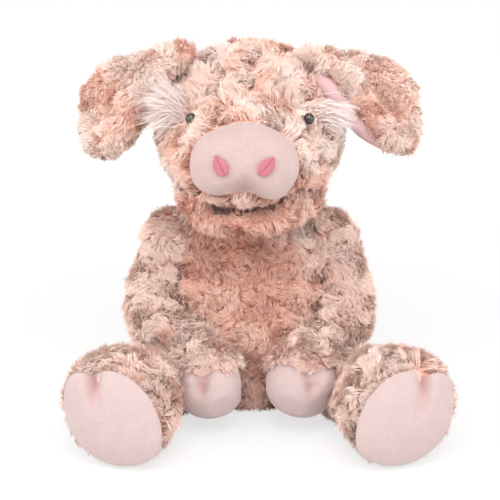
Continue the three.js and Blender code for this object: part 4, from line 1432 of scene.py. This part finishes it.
LINING_PATH = (
    (49, -22, 256, 5), (53, -29, 253, 8), (61, -32, 243, 8.5), (71, -32, 231, 8),
    (82, -30, 218, 7.5), (93, -26, 209, 6), (101, -20, 203, 4),
)


def rolled(name, stations):
    """A round roll along a path: a curve with a radius at each point, turned into a mesh."""
    curve = bpy.data.curves.new(name, "CURVE")
    curve.dimensions = "3D"
    curve.bevel_depth = 1
    curve.bevel_resolution = ROLL_SIDES
    curve.use_fill_caps = True
    line = curve.splines.new("NURBS")
    line.points.add(len(stations) - 1)
    for point, (x, y, z, radius) in zip(line.points, stations):
        point.co = (x * MM, y * MM, z * MM, 1)
        point.radius = radius * MM
    line.use_endpoint_u = True
    line.order_u = ROLL_ORDER
    only(linked(name, curve))
    bpy.ops.object.convert(target="MESH")
    return bpy.context.object


def ear_part(name, node, side):
    """A copy of a layer of the ear, a little smaller and further back to make room for the roll."""
    root = (EAR_ROOT[0] * TURNS[side], EAR_ROOT[1], EAR_ROOT[2])
    return edited(
        cad_copy(name, node),
        (bpy.ops.transform.resize, {"value": EAR_SHRINK, "center_override": root}),
        (bpy.ops.transform.translate, {"value": EAR_BACK}),
    )


ears = {}
for side in ("left", "right"):
    flap = ear_part(f"ear_flap_{side}", f"ear_plush_{side}", side)
    ears[side] = cloth_form(
        f"ear_{side}_cloth", [], [flap, rolled("roll", ROLL_PATHS[side])],
        cap=EAR_SWELL, inset=EAR_INSET, soften=1,
    )
    creased(ears[side], np.array(EAR_VALLEYS[side]) * MM, VALLEY_DEPTH, VALLEY_WIDTH)
    finished_form(ears[side], f"ear_{side}", f"ear_plush_{side}")
    lining = ear_part(f"ear_{side}_lining", f"ear_lining_{side}", side)
    if side == "left":
        joined(lining, [rolled("fold", LINING_PATH)])
    remeshed(lining, LINING_CELL)
    smoothed(lining, 3)
    swollen(lining, -LINING_INSET)
    dressed(shade_smooth(lining), lining_velour, f"ear_{side}", f"ear_lining_{side}")

# %% [markdown]
# ## Where the pile is bare, short, redder or painted darker
# No pile grows where velour, an eye or another bag covers the cloth, nor in the mouth. A maker
# trims it round the eyes, the lips and the cuffs, and leaves it long round the soles.
# The front of the torso and the valleys of the ears are darkened with painted shade.

# %% Where the pile is bare, short, redder or painted darker
# How far from each piece the pile starts.
MOUTH_BARE = 2.8 * MM
EYE_BARE = 6 * MM
SNOUT_BARE = 1.2 * MM
HOOF_BARE = 0.5 * MM
SOLE_BARE = 2.2 * MM
# Beside the mouth the snout's bare strip is wider, below this height.
MOUTH_STRIP = 7 * MM
STRIP_TOP = 194 * MM
STRIP_FADE = 10 * MM
# How deep the pile may still lie in the torso.
HEAD_IN_TORSO = 3 * MM
LIMB_IN_TORSO = 5 * MM
# The pile behind a sole: none further in than its rim, and short under the rim.
SOLE_RIM = 6 * MM
SOLE_BEHIND = 12 * MM
UNDER_SOLE_CUT = 0.55
# The pile is shorter or longer by these shares, close to each of these places.
UPPER_LIP_CUT = 0.45
LOWER_LIP_CUT = 0.68
EYE_CUT = 0.7
FACE_CUT_WIDTH = 11 * MM
VALLEY_CUT = 0.6
VALLEY_CUT_WIDTH = 7 * MM
CUFF_CUT = 0.25
CUFF_REACH = 45 * MM
CUFF_FADE = 15 * MM
RIM_MORE = 0.25
FOOT_REACH = 25 * MM
FOOT_FADE = 12 * MM
FOOT_ACROSS = (0.3, 1, 0.3)
CHIN_TOP = 175 * MM
CHIN_FADE = 15 * MM
CHIN_WAY = np.array((0.0, -0.35, -0.8))
# The colour of each region: its tone, and the share by which it covers the patches. The torso's
# front is partly dye and partly painted shade, and the ears' valleys are painted shade.
TORSO_DYE_AND_SHADE_TONE = 0.94
TORSO_SHARE = 0.62
TORSO_REACH = 40 * MM
LIMB_TONE = 0.63
LIMB_EVENNESS = 0.65
# Painted shade in the valley of each ear: its tone, how strongly it covers, and how wide it is.
VALLEY_SHADE_TONE = 0.95
VALLEY_SHADE_SHARE = 0.6
VALLEY_SHADE_WIDTH = 6 * MM


def meets(tree, places, way):
    """Which of the lines from these places along this way meet the surface."""
    return np.array([tree.ray_cast(Vector(place), Vector(way))[0] is not None for place in places])


def eye_gap(places):
    """How far each place is from the nearer eye."""
    return np.min([np.linalg.norm(places - centre, axis=1) for centre in EYE_CENTRES], axis=0)


def head_weight(places):
    """No pile behind the snout, beside the mouth below it, on the eyes or inside the neck."""
    hidden = meets(surface_tree(snout), places, facing(frame["nodes"]["snout_cover"]))
    low = ramp(-places[:, 2], -STRIP_TOP, STRIP_FADE)
    close = depth_in(places, hull_tree(snout)) > -SNOUT_BARE - MOUTH_STRIP * low
    share = 1.0 - hidden * close
    share *= (eye_gap(places) > EYE_BARE) * (mouth_gap(places) > MOUTH_BARE)
    return share * (depth_in(places, torso_tree) < HEAD_IN_TORSO)


def head_trim(places):
    """Shorter pile round the eyes and the mouth, most of all on the lower lip."""
    line = np.interp(places[:, 0], MOUTH[:, 0], MOUTH[:, 2])
    cut = np.where(places[:, 2] > line, UPPER_LIP_CUT, LOWER_LIP_CUT)
    mouth = 1 - cut * fading(mouth_gap(places), FACE_CUT_WIDTH)
    eyes = 1 - EYE_CUT * fading(eye_gap(places), FACE_CUT_WIDTH)
    return np.minimum(mouth, eyes)


def head_comb(places, normals):
    """Away from the snout, and down below the mouth."""
    low = ramp(-places[:, 2:3], -CHIN_TOP, CHIN_FADE) * (places[:, 1:2] < 0)
    return unit(places - SNOUT_MIDDLE) * (1 - low) + CHIN_WAY * low


def torso_shade(places, tone):
    """The front of the torso is redder and darker: partly dye, partly painted shade under head and
    arms.
    """
    return tone + (TORSO_DYE_AND_SHADE_TONE - tone) * (TORSO_SHARE * ramp(-places[:, 1], 0, TORSO_REACH))


def limb_shade(places, tone):
    """The limbs are dyed a little more evenly than the rest."""
    return tone + (LIMB_TONE - tone) * LIMB_EVENNESS


def limb_weight(cover, margin):
    """No pile where velour covers the limb or deep inside the torso."""
    tree = hull_tree(cover)

    def weight(places):
        bare = depth_in(places, tree) < -margin
        return 1.0 * bare * (depth_in(places, torso_tree) < LIMB_IN_TORSO)
    return weight


def behind_sole(side, rim):
    """Tells which places of the cloth the sole hides, apart from a rim inside its edge."""
    place, out = front_of(f"sole_{side}")
    tree = surface_tree(bpy.data.objects[f"sole_{side}_velour"])

    def hidden(places):
        offset = places - place
        ahead = offset @ out
        across = offset - ahead[:, None] * out
        across /= np.linalg.norm(across, axis=1)[:, None]
        return meets(tree, places + across * rim, out) * (ahead > -SOLE_BEHIND)
    return hidden


def leg_weight(side):
    """No pile on the cloth deep behind the sole, nor deep inside the torso."""
    clear = limb_weight(bpy.data.objects[f"sole_{side}_velour"], SOLE_BARE)
    hidden = behind_sole(side, SOLE_RIM)
    return lambda places: clear(places) * (1.0 - hidden(places))


def leg_trim(side):
    """Longer pile at the end of the leg, which stands out round the sole, and short under it."""
    end = LEG_PATHS[side][-1]
    hidden = behind_sole(side, 0)

    def trim(places):
        gap = np.linalg.norm((places - end) * FOOT_ACROSS, axis=1)
        length = 1 + RIM_MORE * ramp(-gap, -FOOT_REACH, FOOT_FADE)
        return length * (1 - UNDER_SOLE_CUT * hidden(places))
    return trim


def cuff_trim(side):
    """Shorter pile at the edge of the sleeve."""
    def trim(places):
        gap = np.linalg.norm(places - HOOF_MIDDLES[side], axis=1)
        return 1 - CUFF_CUT * ramp(-gap, -CUFF_REACH, CUFF_FADE)
    return trim


def valley_looks(side):
    """Redder, darker and shorter pile in an ear's valley; the colour is painted shade in the fold.
    """
    path = np.array(EAR_VALLEYS[side]) * MM

    def shade(places, tone):
        near = VALLEY_SHADE_SHARE * fading(gap_to_path(places, path)[0], VALLEY_SHADE_WIDTH)
        return tone + (VALLEY_SHADE_TONE - tone) * near

    def trim(places):
        return 1 - VALLEY_CUT * fading(gap_to_path(places, path)[0], VALLEY_CUT_WIDTH)
    return shade, trim


# %% [markdown]
# ## Pile on every form
# Around the snout the pile leads away from the velour, along each limb it runs towards the foot,
# and on an ear it follows the roll. Each form's pile has its own seed, so it never changes.

# %% Pile on every form
TORSO_LOCKS = 70000
HEAD_LOCKS = 84000
LIMB_LOCKS = 37000
EAR_LOCKS = 25000

grow_pile(torso_cloth, TORSO_LOCKS, 1, downward, "torso", shade=torso_shade)
grow_pile(
    head_cloth, HEAD_LOCKS, 2, head_comb, "head",
    weight=head_weight, shade=head_shade, trim=head_trim,
)
for index, side in enumerate(("left", "right")):
    hoof = bpy.data.objects[f"hoof_{side}_velour"]
    grow_pile(
        limb_cloths[f"arm_{side}"], LIMB_LOCKS, 3 + index, comb_along(ARM_PATHS[side]),
        f"arm_{side}", weight=limb_weight(hoof, HOOF_BARE), shade=limb_shade, trim=cuff_trim(side),
    )
    leg_comb = comb_to_rim(LEG_PATHS[side], front_of(f"sole_{side}")[1])
    grow_pile(
        limb_cloths[f"leg_{side}"], LIMB_LOCKS, 5 + index, leg_comb,
        f"leg_{side}", weight=leg_weight(side), shade=limb_shade, trim=leg_trim(side),
    )
    ear_comb = comb_along(np.array(ROLL_PATHS[side])[:, :3] * MM)
    ear_shade, ear_trim = valley_looks(side)
    grow_pile(
        ears[side], EAR_LOCKS, 7 + index, ear_comb,
        f"ear_{side}", length=EAR_PILE_LENGTH, shade=ear_shade, trim=ear_trim,
    )

# %% [markdown]
# ## Tail
# A thin curled tube of velour, sewn to the back. A tube this thin is made of short pile, because
# long pile would hide the curl.

# %% Tail
TAIL_FIRST_CELL = 1 * MM
TAIL_CELL = 1.2 * MM

tail_cloth = cad_copy("tail_cloth", "tail")
remeshed(tail_cloth, TAIL_FIRST_CELL)
smoothed(tail_cloth, 3)
remeshed(tail_cloth, TAIL_CELL)
dressed(shade_smooth(tail_cloth), pad_velour, "tail", "tail")

# %% [markdown]
# ## Filling and the parts inside
# Each bag is filled with loose white fibre, which lies in lumps. The torso also holds a small bag
# of pellets that keeps the toy sitting. These pieces show only where the cloth is opened.

# %% Filling and the parts inside
FILL_GAP = 5 * MM
HEAD_FILL_GAP = 10 * MM
FILL_FIRST_CELL = 3.5 * MM
FILL_CELL = 4 * MM
FILL_LUMP = 3 * MM
FILL_LUMP_SCALE = 55
WASHER_IN = {"left": (-3 * MM, 5 * MM, 0), "right": (3 * MM, 5 * MM, 0)}
WASHER_EDGE = 0.3 * MM
PELLET_CELL = 1.6 * MM
PELLET_LUMP = 1.2 * MM
PELLET_LUMP_SCALE = 330
GRAIN_DETAIL = 4
GRAIN_STRENGTH = 0.6


def bumped_material(name, dark, light, scale, depth, roughness, sheen=0.0):
    """A plain material whose colour and bump follow a fine noise."""
    material, tree, shader = new_material(name, roughness, sheen)
    grain = noise_over(tree, own_place(tree), scale, GRAIN_DETAIL)
    fed(tree, shader, {
        "Base Color": mix_colours(tree, "MIX", grain, linear(dark), linear(light)),
        "Normal": bumped(tree, grain, GRAIN_STRENGTH, depth),
    })
    return material


# Each one's dark and light colour, its grain, the height of the grain and its roughness.
fibre = bumped_material(
    "Filling fibre", (0.80, 0.80, 0.79), (0.93, 0.93, 0.92), 300, 0.8 * MM, 1.0, sheen=0.3
)
pellet_cloth = bumped_material(
    "Pellet cloth", (0.78, 0.76, 0.72), (0.88, 0.86, 0.82), 1400, 0.2 * MM, 0.9
)
washer_plastic = bumped_material(
    "Washer plastic", (0.72, 0.73, 0.74), (0.80, 0.81, 0.82), 60, 0.1 * MM, 0.4
)
thread = bumped_material(
    "Sewing thread", (0.80, 0.68, 0.64), (0.90, 0.80, 0.76), 900, 0.3 * MM, 0.7
)


def lumpy(piece, height, scale):
    """Pushes the surface in and out by a smooth noise."""
    places = places_of(piece)
    lump = np.array([noise.noise(Vector(place) * scale) for place in places])
    set_places(piece, places + normals_of(piece) * (lump * height)[:, None])
    return piece


def filling(node, body, gap=FILL_GAP, turned=False):
    """The fibre inside one bag."""
    fill = cad_copy(f"{node}_fibre", node)
    remeshed(fill, FILL_FIRST_CELL)
    smoothed(fill, 4)
    swollen(fill, -gap)
    if turned:
        turn_muzzle(fill)
    remeshed(fill, FILL_CELL)
    lumpy(fill, FILL_LUMP, FILL_LUMP_SCALE)
    dressed(shade_smooth(fill), fibre, body, node)


filling("torso_stuffing", "torso")
filling("head_stuffing", "head", gap=HEAD_FILL_GAP, turned=True)
for side in ("left", "right"):
    filling(f"arm_stuffing_{side}", f"arm_{side}")
    filling(f"leg_stuffing_{side}", f"leg_{side}")
    washer = cad_copy(f"eye_washer_{side}_disc", f"eye_washer_{side}")
    edited(washer, (bpy.ops.transform.translate, {"value": WASHER_IN[side]}))
    modified(washer, "BEVEL", width=WASHER_EDGE, segments=2)
    dressed(washer, washer_plastic, "head", f"eye_washer_{side}")
pellets = cad_copy("pellet_bag_cloth", "pellet_bag")
remeshed(pellets, PELLET_CELL)
smoothed(pellets, 3)
lumpy(pellets, PELLET_LUMP, PELLET_LUMP_SCALE)
dressed(shade_smooth(pellets), pellet_cloth, "torso", "pellet_bag")
# The neck's thread keeps its CAD form and only gets its material.
for material_slot in frame["nodes"]["neck_thread"].material_slots:
    material_slot.material = thread
print("Fillings, washers, pellet bag and neck thread are in place")

# %% [markdown]
# ## Long tufts beside the eyes
# A spray of long pale hair is sewn in at the outer corner of each eye.

# %% Long tufts beside the eyes
HAIR_ROOT = (0.97, 0.9, 0.88)
HAIR_TIP = (1.0, 0.98, 0.97)
HAIR_SHADE = (0.96, 0.91, 0.9)
TUFT_HAIRS = 420
TUFT_ROOT = np.array((48, -46, 231)) * MM
TUFT_ROOT_HALF = np.array((5, 5, 8)) * MM
TUFT_SCATTER = 0.5
TUFT_SPREAD = (0.16, 0.12)
TUFT_LENGTHS = (0.4, 1.0)
# How far a hair sinks at its tip, rises at its bend and strays, in shares of its length.
TUFT_SINK = 0.12
TUFT_ARCH = 0.1
TUFT_STRAY = 0.03
HAIR_WIDTH = 0.4 * MM
HAIR_SPREAD = 1.1 * MM
HAIR_TONES = (0.05, 0.95)
UP = np.array((0, 0, 1))
# For each side: the way that the tuft points, how far it fans upwards, and its length.
TUFT_WAYS = {
    "left": (np.array((0.97, -0.16, 0.02)), 0.18, 31 * MM),
    "right": (np.array((0.80, -0.16, 0.45)), 0.42, 38 * MM),
}


def make_hair_material():
    """Long pale hair, a little darker at its root."""
    material, tree, shader = new_material("Long hair", roughness=0.6, sheen=0.1)
    apart = along_lock(tree)
    along = mix_colours(tree, "MIX", apart["Y"], linear(HAIR_ROOT), linear(HAIR_TIP))
    varied = mix_colours(tree, "MULTIPLY", apart["X"], along, linear(HAIR_SHADE))
    fed(tree, shader, {"Base Color": varied})
    return material


hair_material = make_hair_material()


def grow_tuft(side, seed):
    """The spray of long hair on one side."""
    draws = np.random.default_rng(seed)
    turn = np.array((TURNS[side], 1, 1))
    out, fan, length = TUFT_WAYS[side]
    root = (TUFT_ROOT + draws.normal(0, TUFT_SCATTER, (TUFT_HAIRS, 3)) * TUFT_ROOT_HALF) * turn
    spread = draws.normal(0, 1, (TUFT_HAIRS, 3)) * (*TUFT_SPREAD, fan)
    way = unit((out + spread) * turn)
    reach = length * draws.uniform(*TUFT_LENGTHS, (TUFT_HAIRS, 1))
    tip = root + way * reach - UP * reach * TUFT_SINK
    normal = unit(np.cross(way, np.cross(-np.array(FORWARDS), way)))
    bend = UP * reach * TUFT_ARCH + draws.normal(0, TUFT_STRAY, root.shape) * reach
    wide = np.full((TUFT_HAIRS, 1), HAIR_WIDTH)
    points = lock_points(root, normal, tip, bend, wide, HAIR_SPREAD, draws)
    tuft = lock_mesh(f"tuft_{side}_hair", points, draws.uniform(*HAIR_TONES, TUFT_HAIRS))
    dressed(tuft, hair_material, "head", f"tuft_{side}")


grow_tuft("left", 31)
grow_tuft("right", 32)

# %% [markdown]
# ## Light and floor
# The photograph is lit evenly from all round, on white. A white world and three large soft lamps do
# the same, and the floor glows only for the camera, so that it stays white but keeps a soft shadow.

# %% Light and floor
WHITE = (1, 1, 1, 1)
FLOOR_SIZE = 6
FLOOR_GREY = (0.8, 0.8, 0.8, 1)
FLOOR_GLOW = 1.15
# The glow rises between these distances in metres, from one share to the other.
GLOW_REACH = (0.3, 1.2)
GLOW_SHARES = (0.6, 1.0)
AMBIENT = 0.58
LAMP_TARGET = Vector((0, 0, 0.14))
# Each row: the place of a lamp, its power in watts and its width.
LAMPS = (
    ((-1.1, -0.8, 0.7), 8.5, 1.0),
    ((1.1, -0.8, 0.6), 7, 1.0),
    ((0, -1.0, 1.25), 10.8, 0.9),
)


def camera_sees(tree, share, first, second, output):
    """Shows the second shader to the camera, as far as the share tells, and else the first."""
    seen = added(tree, "ShaderNodeLightPath", {}).outputs["Is Camera Ray"]
    seen = calculated(tree, "MULTIPLY", seen, share)
    mixed = added(tree, "ShaderNodeMixShader", {0: seen, 1: first.outputs[0], 2: second.outputs[0]})
    fed(tree, tree.nodes[output], {"Surface": mixed.outputs[0]})


def make_floor():
    """A pale floor whose glow fades towards the toy, which leaves room for a soft shadow."""
    bpy.ops.mesh.primitive_plane_add(size=FLOOR_SIZE, location=(0, 0, 0))
    floor = bpy.context.object
    floor.name = "floor"
    material, tree, shader = new_material("Pale floor", roughness=0.9)
    fed(tree, shader, {"Base Color": FLOOR_GREY, "Specular IOR Level": HARD_SPECULAR})
    glow = added(tree, "ShaderNodeEmission", {"Strength": FLOOR_GLOW})
    distance = added(tree, "ShaderNodeVectorMath", {0: own_place(tree)}, operation="LENGTH")
    share = mapped(tree, distance.outputs["Value"], GLOW_REACH, GLOW_SHARES)
    camera_sees(tree, share, shader, glow, "Material Output")
    floor.data.materials.append(material)


def make_world():
    """A white background, and a dimmer one that lights the toy."""
    world = bpy.data.worlds.new("Studio")
    scene.world = world
    world.use_nodes = True
    tree = world.node_tree
    ambient = fed(tree, tree.nodes["Background"], {"Color": WHITE, "Strength": AMBIENT})
    white = added(tree, "ShaderNodeBackground", {"Color": WHITE, "Strength": 1.0})
    camera_sees(tree, 1.0, ambient, white, "World Output")


def make_lamps():
    """Large soft lamps that look at the chest."""
    for place, power, size in LAMPS:
        bpy.ops.object.light_add(type="AREA", location=place)
        lamp = bpy.context.object
        lamp.data.energy = power
        lamp.data.size = size
        aim = LAMP_TARGET - Vector(place)
        lamp.rotation_euler = aim.to_track_quat("-Z", "Y").to_euler()


make_floor()
make_world()
make_lamps()
scene.view_settings.view_transform = "Standard"
